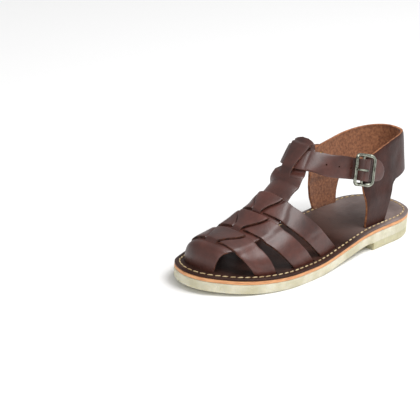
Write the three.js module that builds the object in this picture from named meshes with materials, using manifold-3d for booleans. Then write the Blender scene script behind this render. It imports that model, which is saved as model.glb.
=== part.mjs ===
// Huarache sandal for the left foot: a woven leather upper on a crepe sole, buckled at the ankle.
// Millimetres. The toe points to -Y, the outer side of the foot to +X, and the floor is z = 0.
import * as THREE from 'three';
import { mergeVertices } from 'three/addons/utils/BufferGeometryUtils.js';
import Module from 'manifold-3d';

const wasm = await Module();
wasm.setup();

// Driving sizes of the sole
const LENGTH = 275;
const BALL_WIDTH = 94.4;
const CREPE = 8.6;
const HEEL_LIFT = 7.8;
const TOE_SPRING = 4;
const MIDSOLE = 3.2;
const INSOLE = 2.2;
const HEEL_BREAST = 0.268;
const EDGE_ROUND = 1.4;

// Driving sizes of the leather
const LEATHER = 2.2;
const FIT = 0.3;
const INSTEP = 48;
const FOOT_INSET = 10.2;
const STRIP_WIDTH = 25;
const WEAVE_LIFT = 0.6;
const STRAP_SINK = 0.5;
const SLOT_SLACK = 3;

// Driving sizes of the ankle loop, its strap and its metal
const LOOP_WIDTH = 58;
const LOOP_FRONT = 0.513;
const LOOP_REAR = 0.005;
const LOOP_POWER = 2.2;
const LEAN_BACK = 1.2;
const LEAN_IN = 0.2;
const LEAN_OVER = 20;
const LEAN_DROP = 2;
const ANKLE = 91.5;
const STRAP_WIDTH = 20;
const HOLE_RADIUS = 1.3;
const HOLE_PITCH = 12;
const BUCKLE_AT = 0.322;
const BUCKLE_HEIGHT = 29;
const BUCKLE_CORNER = 3.6;
const BUCKLE_WIDTH = 24;
const BUCKLE_WIRE = 1.6;
const BAR_RADIUS = 1.2;
const RIVET_AT = 0.264;
const RIVET_HEAD = 4;
const RIVET_SHANK = 1.5;
const RIVET_HOLE = 1.8;
const RIVET_BACK = 0.8;
const BAR_OFF = 3.8;
const FOLD_WALL = 1.5;
const FOLD_LENGTH = 15.4;
const FRONT_BOW = 1.6;
const REAR_BOW = 3.6;
const PRONG_RADIUS = 0.9;
const PRONG_BEND = 3.4;
const STRAP_END = 0.218;
const TAIL_END = 0.218;

// Outline of the sole: at is the share of the length from the heel, the rest are shares of BALL_WIDTH.
const SOLE = [
  { at: 0.0, outer: 0.0, inner: 0.0, shift: 0.0 },
  { at: 0.03, outer: 0.244, inner: 0.246, shift: 0.0 },
  { at: 0.1, outer: 0.348, inner: 0.358, shift: 0.0 },
  { at: 0.2, outer: 0.375, inner: 0.38, shift: 0.0 },
  { at: 0.32, outer: 0.396, inner: 0.358, shift: 0.0 },
  { at: 0.45, outer: 0.447, inner: 0.36, shift: 0.0 },
  { at: 0.58, outer: 0.5, inner: 0.427, shift: 0.0 },
  { at: 0.7, outer: 0.514, inner: 0.485, shift: 0.0 },
  { at: 0.8, outer: 0.483, inner: 0.482, shift: -0.01 },
  { at: 0.9, outer: 0.374, inner: 0.389, shift: -0.026 },
  { at: 0.965, outer: 0.244, inner: 0.245, shift: -0.066 },
  { at: 1.0, outer: 0.0, inner: 0.0, shift: -0.066 },
];

// Arches of the last, one row each, from the toe's tip up to the tab at the top.
// run: place along the crown. crown, outer, inner: the arch's crown and feet, shares of LENGTH from the heel.
// rise: height of the crown over the insole, share of INSTEP. foot: the same for the feet. centre: crown's x,
// share of BALL_WIDTH. outerWide, outerTall, innerWide, innerTall: how full each side of the arch is.
const ARCHES = [
  { name: 'tip', run: 0.0, crown: 0.943, outer: 0.9, inner: 0.903, rise: 0.0, foot: 0, centre: -0.07,
    outerWide: 2.2, outerTall: 1.8, innerWide: 2.2, innerTall: 1.8 },
  { name: 'nose', run: 0.06, crown: 0.939, outer: 0.897, inner: 0.903, rise: 0.24, foot: 0, centre: -0.066,
    outerWide: 2.3, outerTall: 1.8, innerWide: 2.6, innerTall: 1.9 },
  { name: 'cap', run: 0.11, crown: 0.927, outer: 0.88, inner: 0.902, rise: 0.385, foot: 0, centre: -0.058,
    outerWide: 2.5, outerTall: 1.9, innerWide: 2.7, innerTall: 2.1 },
  { name: 'front1', run: 0.17, crown: 0.9, outer: 0.843, inner: 0.895, rise: 0.43, foot: 0, centre: -0.045,
    outerWide: 2.86, outerTall: 2.1, innerWide: 2.7, innerTall: 2.3 },
  { name: 'rear1', run: 0.32, crown: 0.813, outer: 0.77, inner: 0.833, rise: 0.5, foot: 0, centre: -0.042,
    outerWide: 2.44, outerTall: 2.4, innerWide: 2.4, innerTall: 2.5 },
  { name: 'front2', run: 0.36, crown: 0.787, outer: 0.695, inner: 0.77, rise: 0.54, foot: 0, centre: -0.036,
    outerWide: 2.13, outerTall: 2.7, innerWide: 2.3, innerTall: 2.6 },
  { name: 'rear2', run: 0.5, crown: 0.714, outer: 0.598, inner: 0.7, rise: 0.73, foot: 0, centre: -0.03,
    outerWide: 1.89, outerTall: 3.1, innerWide: 2.1, innerTall: 2.7 },
  { name: 'front3', run: 0.53, crown: 0.7, outer: 0.555, inner: 0.63, rise: 0.78, foot: 0, centre: -0.028,
    outerWide: 1.69, outerTall: 3.6, innerWide: 1.9, innerTall: 2.8 },
  { name: 'rear3', run: 0.67, crown: 0.637, outer: 0.469, inner: 0.548, rise: 1.0, foot: 0, centre: -0.04,
    outerWide: 1.54, outerTall: 4.3, innerWide: 2.1, innerTall: 3.0 },
  { name: 'instep', run: 0.76, crown: 0.592, outer: 0.44, inner: 0.48, rise: 1.17, foot: 0.35, centre: -0.036,
    outerWide: 1.9, outerTall: 3.2, innerWide: 2.3, innerTall: 3.0 },
  { name: 'bend', run: 0.85, crown: 0.521, outer: 0.33, inner: 0.35, rise: 1.29, foot: 1.12, centre: -0.006,
    outerWide: 2.2, outerTall: 2.2, innerWide: 2.2, innerTall: 2.2 },
  { name: 'ankle', run: 0.875, crown: 0.513, outer: 0.259, inner: 0.259, rise: 1.365, foot: 1.235, centre: 0,
    outerWide: 2.2, outerTall: 2.2, innerWide: 2.2, innerTall: 2.2 },
  { name: 'brim', run: 0.96, crown: 0.513, outer: 0.259, inner: 0.259, rise: 1.68, foot: 1.55, centre: 0,
    outerWide: 2.2, outerTall: 2.2, innerWide: 2.2, innerTall: 2.2 },
  { name: 'tab', run: 1.0, crown: 0.51, outer: 0.259, inner: 0.259, rise: 1.805, foot: 1.675, centre: 0,
    outerWide: 2.2, outerTall: 2.2, innerWide: 2.2, innerTall: 2.2 },
];

// The centre piece: half widths to its edges and to its slits, shares of STRIP_WIDTH.
const CENTRE = [
  { run: 0.0, outer: 0.6, inner: 0.98, slit: 0.2 },
  { run: 0.11, outer: 0.74, inner: 0.9, slit: 0.2 },
  { run: 0.17, outer: 0.86, inner: 0.8, slit: 0.22 },
  { run: 0.32, outer: 0.9, inner: 0.76, slit: 0.53 },
  { run: 0.36, outer: 0.9, inner: 0.74, slit: 0.16 },
  { run: 0.5, outer: 0.9, inner: 0.7, slit: 0.53 },
  { run: 0.53, outer: 0.86, inner: 0.7, slit: 0.16 },
  { run: 0.67, outer: 0.62, inner: 0.6, slit: 0.46 },
  { run: 0.76, outer: 0.58, inner: 0.6, slit: 0.3 },
  { run: 0.88, outer: 0.54, inner: 0.54, slit: 0.2 },
  { run: 0.97, outer: 0.56, inner: 0.54, slit: 0.34 },
  { run: 1.0, outer: 0.56, inner: 0.54, slit: 0.34 },
];

// Ankle strap's mid height along the loop: back is the share of the loop's length behind its front,
// and the heights are shares of ANKLE.
const STRAP_PATH = [
  { back: 0.0, outer: 0.965, inner: 0.965 },
  { back: 0.04, outer: 0.963, inner: 0.96 },
  { back: 0.09, outer: 0.95, inner: 0.94 },
  { back: 0.155, outer: 0.92, inner: 0.905 },
  { back: 0.235, outer: 0.892, inner: 0.865 },
  { back: 0.375, outer: 0.83, inner: 0.8 },
  { back: 0.6, outer: 0.765, inner: 0.745 },
];

// Top and bottom edges of the heel quarter's band, shares of ANKLE, by the same places.
const BAND = [
  { back: 0.35, outerTop: 0.925, outerLow: 0.745, innerTop: 0.86, innerLow: 0.68 },
  { back: 0.46, outerTop: 0.935, outerLow: 0.68, innerTop: 0.865, innerLow: 0.66 },
  { back: 0.6, outerTop: 0.98, outerLow: 0.65, innerTop: 0.9, innerLow: 0.62 },
  { back: 0.74, outerTop: 1.01, outerLow: 0.625, innerTop: 0.945, innerLow: 0.61 },
  { back: 0.88, outerTop: 1.015, outerLow: 0.635, innerTop: 0.975, innerLow: 0.625 },
  { back: 1.0, outerTop: 0.995, outerLow: 0.645, innerTop: 0.995, innerLow: 0.645 },
];

// Front and rear edges of the quarter's legs, shares of LENGTH from the heel, up to the band.
// up is the share of the way from the insole to the band's middle; wide is the loop's width there.
const LEG = [
  { up: 0.0, outerFront: 0.291, innerFront: 0.296, rear: 0.186, outerWide: 0.95, innerWide: 1.0 },
  { up: 0.3, outerFront: 0.298, innerFront: 0.312, rear: 0.175, outerWide: 0.99, innerWide: 1.08 },
  { up: 0.5, outerFront: 0.308, innerFront: 0.319, rear: 0.166, outerWide: 1.01, innerWide: 1.08 },
  { up: 0.62, outerFront: 0.316, innerFront: 0.321, rear: 0.153, outerWide: 1.0, innerWide: 1.03 },
  { up: 0.72, outerFront: 0.32, innerFront: 0.32, rear: 0.12, outerWide: 1.0, innerWide: 1.0 },
  { up: 1.0, outerFront: 0.32, innerFront: 0.32, rear: 0.11, outerWide: 1.0, innerWide: 1.0 },
];

// Value of a table's column at a place along it, on a cubic that never overshoots its rows.
function smooth(rows, along, column, at) {
  const last = rows.length - 1;
  let i = 0;
  while (i < last - 1 && at > rows[i + 1][along]) i += 1;
  const gap = (k) => rows[k + 1][along] - rows[k][along];
  const rate = (k) => (rows[k + 1][column] - rows[k][column]) / gap(k);
  const slope = (k) => {
    if (k === 0) return rate(0);
    if (k === last) return rate(last - 1);
    const before = rate(k - 1);
    const after = rate(k);
    if (before * after <= 0) return 0;
    const mean = (before * gap(k) + after * gap(k - 1)) / (gap(k) + gap(k - 1));
    return Math.sign(mean) * Math.min(Math.abs(mean), 3 * Math.min(Math.abs(before), Math.abs(after)));
  };
  const h = gap(i);
  const u = THREE.MathUtils.clamp((at - rows[i][along]) / h, 0, 1);
  const near = (1 + 2 * u) * (1 - u) ** 2 * rows[i][column] + u * (1 - u) ** 2 * h * slope(i);
  const far = u * u * (3 - 2 * u) * rows[i + 1][column] - u * u * (1 - u) * h * slope(i + 1);
  return near + far;
}

const ease = (u) => THREE.MathUtils.smoothstep(u, 0, 1);
const yAt = (share) => LENGTH / 2 - share * LENGTH;
const shareAt = (y) => (LENGTH / 2 - y) / LENGTH;

// Heights of the sole's layers over the floor at a place along its length
const rise = (y) => {
  const share = shareAt(y);
  const heel = HEEL_LIFT * (1 - ease((share - 0.22) / 0.4));
  return heel + TOE_SPRING * Math.max(0, (share - 0.7) / 0.3) ** 2;
};
const crepeTop = (y) => rise(y) + CREPE;
const midsoleTop = (y) => crepeTop(y) + MIDSOLE;
const insoleTop = (y) => midsoleTop(y) + INSOLE;

// The outline is smoothed against the angle whose cosine gives the share of the length.
const SOLE_TURNS = SOLE.map((row) => ({ ...row, turn: Math.acos(1 - 2 * row.at) }));

// A point of the sole's outline: turn runs from the heel (0) round the outer side to the toe (PI) and back.
function outline(turn, inset = 0) {
  const base = (angle) => {
    const half = angle <= Math.PI ? angle : 2 * Math.PI - angle;
    const side = angle <= Math.PI ? 1 : -1;
    const width = smooth(SOLE_TURNS, 'turn', side > 0 ? 'outer' : 'inner', half);
    const shift = smooth(SOLE_TURNS, 'turn', 'shift', half);
    return new THREE.Vector2(BALL_WIDTH * (shift + side * width), yAt((1 - Math.cos(half)) / 2));
  };
  const here = base(turn);
  if (inset === 0) return here;
  const step = 0.01;
  const wrap = (angle) => (angle + 2 * Math.PI) % (2 * Math.PI);
  const along = base(wrap(turn + step)).sub(base(wrap(turn - step))).normalize();
  return here.sub(new THREE.Vector2(-along.y, along.x).multiplyScalar(inset));
}

// Half of the sole at a share of its length, measured from the middle line to the edge
function edgeX(share, side) {
  const turn = Math.acos(THREE.MathUtils.clamp(1 - 2 * share, -1, 1));
  const width = smooth(SOLE_TURNS, 'turn', side > 0 ? 'outer' : 'inner', turn);
  return BALL_WIDTH * (smooth(SOLE_TURNS, 'turn', 'shift', turn) + side * width);
}

// A solid from a list of points and faces, turned so that its faces point out.
function solidFrom(points, faces) {
  const corners = [];
  for (const face of faces) {
    for (let k = 1; k < face.length - 1; k += 1) corners.push(face[0], face[k], face[k + 1]);
  }
  const position = new Float32Array(corners.flatMap((k) => points[k].toArray()));
  const geometry = new THREE.BufferGeometry();
  geometry.setAttribute('position', new THREE.BufferAttribute(position, 3));
  return solidOf(geometry);
}

// A manifold-3d solid of any closed geometry
function solidOf(source) {
  const geometry = source.index ? source.toNonIndexed() : source.clone();
  geometry.deleteAttribute('normal');
  geometry.deleteAttribute('uv');
  const merged = mergeVertices(geometry, 1e-3);
  const index = merged.index.array;
  const spots = merged.attributes.position;
  const triangles = [];
  let volume = 0;
  for (let k = 0; k < index.length; k += 3) {
    const [a, b, c] = [index[k], index[k + 1], index[k + 2]];
    if (a === b || b === c || c === a) continue;
    triangles.push(a, b, c);
    const [pa, pb, pc] = [a, b, c].map((n) => new THREE.Vector3().fromBufferAttribute(spots, n));
    volume += pa.dot(pb.cross(pc)) / 6;
  }
  if (volume < 0) triangles.reverse();
  const mesh = new wasm.Mesh({
    numProp: 3,
    vertProperties: new Float32Array(spots.array),
    triVerts: new Uint32Array(triangles),
  });
  return new wasm.Manifold(mesh);
}

// A named mesh of a solid, in its own material
function piece(name, solid, look) {
  const { vertProperties, triVerts } = solid.getMesh();
  const geometry = new THREE.BufferGeometry();
  geometry.setAttribute('position', new THREE.BufferAttribute(new Float32Array(vertProperties), 3));
  geometry.setIndex([...triVerts]);
  const flat = geometry.toNonIndexed();
  flat.computeVertexNormals();
  const mesh = new THREE.Mesh(flat, new THREE.MeshStandardMaterial(look));
  mesh.name = name;
  return mesh;
}

const joined = (solids) => solids.reduce((all, next) => all.add(next));

// A layer of the sole between levels, which are listed from its top to its bottom.
// Each level has an inset from the outline and a height, both for each y.
// upTo cuts the layer off at a heel breast.
function layer(levels, upTo = 1, steps = 40) {
  const lastTurn = Math.acos(1 - 2 * upTo);
  const whole = upTo === 1;
  const turns = [];
  for (let k = 0; k <= steps; k += 1) turns.push((lastTurn * k) / steps);
  const round = [...turns];
  const backFrom = whole ? steps - 1 : steps;
  for (let k = backFrom; k >= 1; k -= 1) round.push(2 * Math.PI - turns[k]);
  const points = [];
  for (const { inset, height } of levels) {
    for (const turn of round) {
      const spot = outline(turn, inset(outline(turn).y));
      points.push(new THREE.Vector3(spot.x, spot.y, height(spot.y)));
    }
  }
  const count = round.length;
  const faces = [];
  for (let level = 0; level < levels.length - 1; level += 1) {
    for (let k = 0; k < count; k += 1) {
      const next = (k + 1) % count;
      const a = level * count;
      const b = a + count;
      faces.push([a + k, a + next, b + next], [a + k, b + next, b + k]);
    }
  }
  const mirror = (k) => (k === 0 || (whole && k === steps) ? k : count - k);
  for (const [base, flip] of [[0, false], [(levels.length - 1) * count, true]]) {
    for (let k = 0; k < steps; k += 1) {
      const quad = [k, k + 1, mirror(k + 1), mirror(k)].map((n) => n + base);
      const ring = quad.filter((n, i) => quad.indexOf(n) === i);
      if (ring.length > 2) faces.push(flip ? ring : ring.reverse());
    }
  }
  return solidFrom(points, faces);
}

// A leather sheet: place(u, v, outside) gives its two faces for u and v from 0 to 1.
function sheet(across, along, place) {
  const points = [];
  const at = (side, i, j) => side * (across + 1) * (along + 1) + i * (along + 1) + j;
  for (const side of [0, 1]) {
    for (let i = 0; i <= across; i += 1) {
      for (let j = 0; j <= along; j += 1) points.push(place(i / across, j / along, side));
    }
  }
  const faces = [];
  for (let i = 0; i < across; i += 1) {
    for (let j = 0; j < along; j += 1) {
      faces.push([at(1, i, j), at(1, i + 1, j), at(1, i + 1, j + 1), at(1, i, j + 1)]);
      faces.push([at(0, i, j), at(0, i, j + 1), at(0, i + 1, j + 1), at(0, i + 1, j)]);
    }
  }
  for (let i = 0; i < across; i += 1) {
    faces.push([at(0, i, 0), at(0, i + 1, 0), at(1, i + 1, 0), at(1, i, 0)]);
    faces.push([at(0, i + 1, along), at(0, i, along), at(1, i, along), at(1, i + 1, along)]);
  }
  for (let j = 0; j < along; j += 1) {
    faces.push([at(0, 0, j + 1), at(0, 0, j), at(1, 0, j), at(1, 0, j + 1)]);
    faces.push([at(0, across, j), at(0, across, j + 1), at(1, across, j + 1), at(1, across, j)]);
  }
  return solidFrom(points, faces);
}

// Half of an arch of the last, from the crown down to its foot and on into the insole's slot
function halfArch(run, side, tuck) {
  const get = (column) => smooth(ARCHES, 'run', column, run);
  const crownY = yAt(get('crown'));
  const crown = new THREE.Vector3(
    get('centre') * BALL_WIDTH, crownY, insoleTop(crownY) + get('rise') * INSTEP);
  const footShare = get(side > 0 ? 'outer' : 'inner');
  const footY = yAt(footShare);
  const footUp = get('foot') * INSTEP;
  const loopX = (side * LOOP_WIDTH) / 2;
  const lastX = edgeX(footShare, side) - side * FOOT_INSET;
  const footX = THREE.MathUtils.lerp(lastX, loopX, ease(get('foot')));
  const wide = get(side > 0 ? 'outerWide' : 'innerWide');
  const tall = get(side > 0 ? 'outerTall' : 'innerTall');
  const points = [];
  const steps = 36;
  for (let k = 0; k <= steps; k += 1) {
    const angle = (Math.PI / 2) * (k / steps);
    const out = Math.sin(angle) ** (2 / wide);
    const up = Math.cos(angle) ** (2 / tall);
    const y = footY + (crown.y - footY) * up;
    const footZ = insoleTop(footY) + footUp;
    points.push(new THREE.Vector3(crown.x + (footX - crown.x) * out, y, footZ + (crown.z - footZ) * up));
  }
  const foot = points[steps].clone();
  foot.z -= tuck;
  points.push(foot);
  const lengths = [0];
  for (let k = 1; k < points.length; k += 1) {
    lengths.push(lengths[k - 1] + points[k].distanceTo(points[k - 1]));
  }
  return { points, lengths, full: lengths[steps] };
}

const LEAN_RUN = { from: 0.76, to: 0.875 };
const TUCK = INSOLE - FIT;
const CUT_DEPTH = 4;
const arches = new Map();
function archAt(run, side) {
  const key = `${run.toFixed(6)} ${side}`;
  if (!arches.has(key)) arches.set(key, halfArch(run, side, CUT_DEPTH));
  return arches.get(key);
}

// The ankle loop leans in over the foot above the legs, and back with the shin at its front.
const LOOP_LOW = 0.635 * ANKLE;
const LEAN_START = BUCKLE_AT + 0.03;
const frontPart = (y) => ease((shareAt(y) - LEAN_START) / (LOOP_FRONT - LEAN_START));
const leanIn = (z) => {
  const up = Math.max(0, z - LOOP_LOW + LEAN_OVER);
  return LEAN_IN * (up < LEAN_OVER ? up ** 2 / (2 * LEAN_OVER) : up - LEAN_OVER / 2);
};
function lean(spot, part = 1) {
  const back = LEAN_BACK * (spot.z - ANKLE + LEAN_DROP) * frontPart(spot.y);
  return new THREE.Vector3(spot.x - part * leanIn(spot.z), spot.y + part * back, spot.z);
}

// A point of the last, away millimetres from the crown along the arch, towards the outer side where positive
function onLast(run, away) {
  const side = away >= 0 ? 1 : -1;
  const below = Math.max(0, -run);
  const { points, lengths } = archAt(Math.max(0, run), side);
  const far = Math.min(Math.abs(away), lengths[lengths.length - 1]);
  let k = 1;
  while (k < lengths.length - 1 && lengths[k] < far) k += 1;
  const part = (far - lengths[k - 1]) / Math.max(1e-9, lengths[k] - lengths[k - 1]);
  const spot = points[k - 1].clone().lerp(points[k], part);
  spot.z -= below * LENGTH;
  return lean(spot, ease((run - LEAN_RUN.from) / (LEAN_RUN.to - LEAN_RUN.from)));
}

// The same point lifted off the last by a height along its normal
function offLast(run, away, height) {
  const stepRun = 0.012;
  const stepAway = 1.5;
  const here = Math.max(0, run);
  const reach = archAt(here, away >= 0 ? 1 : -1).lengths.at(-1);
  const low = Math.max(-reach, away - stepAway);
  const high = Math.min(reach, away + stepAway);
  const alongRun = onLast(Math.min(1, here + stepRun), away).sub(onLast(Math.max(0, here - stepRun), away));
  const alongAway = onLast(here, high).sub(onLast(here, low));
  const normal = alongAway.cross(alongRun).normalize();
  return onLast(run, away).addScaledVector(normal, height);
}

// How far a strap is lifted where it crosses the centre piece's margin
const edgeOf = (run, away) => STRIP_WIDTH * smooth(CENTRE, 'run', away >= 0 ? 'outer' : 'inner', run);
const slitOf = (run) => STRIP_WIDTH * smooth(CENTRE, 'run', 'slit', run);
function strapLift(run, away) {
  const far = Math.abs(away);
  const over = 1 - ease((far - edgeOf(run, away)) / 7);
  const out = ease((far - slitOf(run) + 1) / 3);
  return LEATHER * over * out;
}

const runOf = (name) => ARCHES.find((row) => row.name === name).run;

// One cross strap between two arches, foot to foot. grow and deep make the cutter for its slots.
function crossStrap(number, grow = 0, deep = TUCK) {
  const front = runOf(`front${number}`);
  const rear = runOf(`rear${number}`);
  const widen = (SLOT_SLACK * grow) / LENGTH;
  return sheet(4, 30, (u, v, outside) => {
    const run = front - widen + (rear - front + 2 * widen) * u;
    const inner = archAt(run, -1).full + deep;
    const outer = archAt(run, 1).full + deep;
    const away = -inner + (inner + outer) * v;
    return offLast(run, away, outside ? strapLift(run, away) + LEATHER + grow : -STRAP_SINK - grow);
  });
}

// The toe piece and the strip that runs on from it up the instep, over a stretch of the crown.
// halfWidth gives its two half widths, and inside and outside its faces' heights over the last.
function centrePiece(from, to, steps, halfWidth, inside, outside, across = 8) {
  return sheet(steps, across, (u, v, side) => {
    const run = from + (to - from) * u;
    const [outer, inner] = halfWidth(run);
    return offLast(run, -inner + (inner + outer) * v, side ? outside(run) : inside(run));
  });
}

// The raised part of the centre piece over one cross strap, between its two slits
function bridge(number) {
  const front = runOf(`front${number}`);
  const rear = runOf(`rear${number}`);
  const lead = 0.02;
  const widths = (run) => {
    const half = slitOf(THREE.MathUtils.clamp(run, front, rear));
    return [half, half];
  };
  const top = (run) => {
    const up = ease((run - front + lead) / lead) * (1 - ease((run - rear) / lead));
    return LEATHER + (LEATHER + WEAVE_LIFT) * up;
  };
  return centrePiece(front - lead, rear + lead / 2, 9, widths, () => LEATHER / 2, top, 6);
}

// The ankle loop: a level oval that the strap and the quarter follow
const LOOP_MIDDLE = yAt((LOOP_FRONT + LOOP_REAR) / 2);
const LOOP_HALF = yAt((LOOP_REAR - LOOP_FRONT) / 2 + 0.5);

// A point of the loop at a turn from its front (0) round the outer side to its rear (PI).
// height is over the floor, off is how far outside the loop, and wide widens it.
function onLoop(turn, height, off, wide = 1) {
  const halfX = (wide * LOOP_WIDTH) / 2;
  const power = (value) => Math.sign(value) * Math.abs(value) ** (2 / LOOP_POWER);
  const x = power(Math.sin(turn));
  const y = -power(Math.cos(turn));
  const grade = (value) => Math.sign(value) * Math.abs(value) ** (LOOP_POWER - 1);
  const normal = new THREE.Vector2(grade(x) / halfX, grade(y) / LOOP_HALF).normalize();
  const foot = new THREE.Vector3(halfX * x, LOOP_MIDDLE + LOOP_HALF * y, height);
  const above = foot.clone().setZ(height + 1);
  const slope = lean(above).sub(lean(foot));
  const out = new THREE.Vector3(normal.x, normal.y, -normal.x * slope.x - normal.y * slope.y).normalize();
  return lean(foot).addScaledVector(out, off);
}
const turnAt = (y) => {
  const value = (y - LOOP_MIDDLE) / LOOP_HALF;
  return Math.acos(-Math.sign(value) * Math.abs(value) ** (LOOP_POWER / 2));
};
const backOf = (turn) => {
  const value = -Math.cos(turn);
  return (1 + Math.sign(value) * Math.abs(value) ** (2 / LOOP_POWER)) / 2;
};

// Half of the quarter's height at a turn: [low, top]
function bandAt(turn) {
  const back = backOf(turn);
  const side = Math.sin(turn) >= 0 ? 'outer' : 'inner';
  const get = (edge) => ANKLE * smooth(BAND, 'back', side + edge, back);
  return [get('Low'), get('Top')];
}

// The band of the quarter, from its buckled end round the heel to its riveted end
const QUARTER_FRONT = yAt(BUCKLE_AT);
const frontTurn = turnAt(QUARTER_FRONT);
function quarterBand() {
  const reach = 2 * (Math.PI - frontTurn);
  return sheet(2, 38, (u, v, outside) => {
    const turn = frontTurn + reach * v;
    const [low, top] = bandAt(turn);
    return onLoop(turn, low + (top - low) * u, outside ? LEATHER : 0);
  });
}

// A leg of the quarter, from the insole's slot up into the band
function quarterLeg(side, grow = 0, deep = TUCK) {
  return sheet(10, 6, (u, v, outside) => {
    const row = Math.max(0, u);
    const sided = (column) => smooth(LEG, 'up', (side > 0 ? 'outer' : 'inner') + column, row);
    const front = yAt(sided('Front')) - grow;
    const rear = yAt(smooth(LEG, 'up', 'rear', row)) + grow;
    const y = front + (rear - front) * v;
    const turn = side * turnAt(y);
    const floor = insoleTop(y);
    const [low, top] = bandAt(turn);
    const height = u === 0 ? floor - deep : floor + ((low + top) / 2 - floor) * row;
    const inBand = 0.4 * ease((height - low) / 3);
    const off = outside ? LEATHER + grow - inBand : inBand - grow;
    return onLoop(turn, height, off, sided('Wide'));
  });
}

// Mid height of the ankle strap at a turn of the loop
const strapHeight = (turn) =>
  ANKLE * smooth(STRAP_PATH, 'back', turn >= 0 ? 'outer' : 'inner', backOf(Math.abs(turn)));

// The buckle's own frame: its middle, its direction back along the strap, and its way out from the leg
const barTurn = turnAt(QUARTER_FRONT);
const barFoot = onLoop(barTurn, strapHeight(barTurn), 0);
const outward = onLoop(barTurn, barFoot.z, 1).sub(barFoot);
const strapSpot = (y) => onLoop(turnAt(y), strapHeight(turnAt(y)), 0);
const alongStrap = strapSpot(QUARTER_FRONT + 5).sub(strapSpot(QUARTER_FRONT - 5));
const rearward = alongStrap.projectOnPlane(outward).normalize();
const upward = outward.clone().cross(rearward);
const buckleFrame = new THREE.Matrix4().makeBasis(rearward, upward, outward).setPosition(barFoot);
const BARREL = BAR_RADIUS + FIT + FOLD_WALL;
const barrelTop = BAR_OFF + BARREL;

// How far the strap's inner face stands off the loop: over the buckle's bar, or over the quarter.
// It steps up on to the quarter on the inner side, and rises over the bar on the outer side.
const STEP_UP = { before: 9, length: 7 };
const OVER_BAR = { half: 7.5, length: 5 };
function strapOff(foot) {
  if (foot.x < 0) return (LEATHER + FIT) * ease((foot.y - QUARTER_FRONT + STEP_UP.before) / STEP_UP.length);
  const past = foot.clone().sub(barFoot).dot(rearward);
  const overBar = ease((OVER_BAR.half - Math.abs(past)) / OVER_BAR.length);
  const behind = past > 0 ? LEATHER + FIT : 0;
  return behind + (barrelTop + FIT - behind) * overBar;
}

// The ankle strap's stations, as turns of the loop from its tail to its riveted end, closer at the buckle
const STATION = { wide: 4, close: 1.8 };
function strapStations(tail, end) {
  const stations = [];
  let turn = tail;
  while (turn > end) {
    stations.push(turn);
    const past = turn > 0 ? Math.abs(onLoop(turn, 0, 0).y - QUARTER_FRONT) : STRAP_WIDTH;
    const fromEnd = Math.min(tail - turn, turn - end) * LOOP_HALF;
    const near = past < STRAP_WIDTH / 2 || fromEnd < STRAP_WIDTH / 4;
    turn -= (near ? STATION.close : STATION.wide) / LOOP_HALF;
  }
  return [...stations, end];
}

// The ankle strap, from its tail on the outer side round the front to its riveted end
function strapSheet() {
  const tail = turnAt(yAt(TAIL_END));
  const end = -turnAt(yAt(STRAP_END));
  const stations = strapStations(tail, end);
  const last = stations.length - 1;
  return sheet(3, last, (u, v, outside) => {
    const turn = stations[Math.round(v * last)];
    const fromEnd = Math.min(tail - turn, turn - end) * LOOP_HALF;
    const round = STRAP_WIDTH / 2;
    const taper = Math.sqrt(Math.max(0.06, 1 - Math.max(0, 1 - fromEnd / round) ** 2));
    const middle = strapHeight(turn);
    const up = onLoop(turn, middle + 1, 0).distanceTo(onLoop(turn, middle, 0));
    const height = middle + (STRAP_WIDTH * (u - 0.5) * taper) / up;
    return onLoop(turn, height, strapOff(onLoop(turn, height, 0)) + (outside ? LEATHER : 0));
  });
}

// A round bar between two points
function rod(from, to, radius, sides = 10) {
  const length = from.distanceTo(to);
  const bar = new THREE.CylinderGeometry(radius, radius, length, sides);
  const turned = new THREE.Quaternion().setFromUnitVectors(
    new THREE.Vector3(0, 1, 0), to.clone().sub(from).normalize());
  bar.applyQuaternion(turned).translate(...from.clone().add(to).multiplyScalar(0.5));
  return solidOf(bar);
}

// A closed wire along a loop of points, out being the way its section's first side faces
function wire(path, radius, out, sides = 8) {
  const points = [];
  const count = path.length;
  for (let k = 0; k < count; k += 1) {
    const along = path[(k + 1) % count].clone().sub(path[(k + count - 1) % count]).normalize();
    const side = along.clone().cross(out).normalize();
    const up = side.clone().cross(along).normalize();
    for (let n = 0; n < sides; n += 1) {
      const angle = (2 * Math.PI * n) / sides;
      points.push(path[k].clone()
        .addScaledVector(side, radius * Math.cos(angle)).addScaledVector(up, radius * Math.sin(angle)));
    }
  }
  const faces = [];
  for (let k = 0; k < count; k += 1) {
    const next = (k + 1) % count;
    for (let n = 0; n < sides; n += 1) {
      const after = (n + 1) % sides;
      faces.push([k * sides + n, k * sides + after, next * sides + after, next * sides + n]);
    }
  }
  return solidFrom(points, faces);
}

// The buckle's bowed frame with its centre bar, in the buckle's own frame
const halfAcross = BUCKLE_WIDTH / 2 - BUCKLE_WIRE;
const halfTall = BUCKLE_HEIGHT / 2 - BUCKLE_WIRE;
function bow(along) {
  return BAR_OFF + (along < 0 ? FRONT_BOW : REAR_BOW) * (along / halfAcross) ** 2;
}
const local = (along, up, off) => new THREE.Vector3(along, up, off).applyMatrix4(buckleFrame);
function buckleSolid() {
  const path = [];
  const steps = 5;
  for (const [signAlong, signUp, start] of [[1, 1, 0], [-1, 1, 1], [-1, -1, 2], [1, -1, 3]]) {
    for (let k = 0; k <= steps; k += 1) {
      const angle = (Math.PI / 2) * (start + k / steps);
      const along = signAlong * (halfAcross - BUCKLE_CORNER) + BUCKLE_CORNER * Math.cos(angle);
      const up = signUp * (halfTall - BUCKLE_CORNER) + BUCKLE_CORNER * Math.sin(angle);
      path.push(local(along, up, bow(along)));
    }
    if (start % 2 === 0) {
      path.push(local(0, signUp * halfTall, bow(0)));
    }
  }
  const bar = rod(local(0, -halfTall, BAR_OFF), local(0, halfTall, BAR_OFF), BAR_RADIUS);
  return wire(path, BUCKLE_WIRE, outward).add(bar);
}

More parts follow.
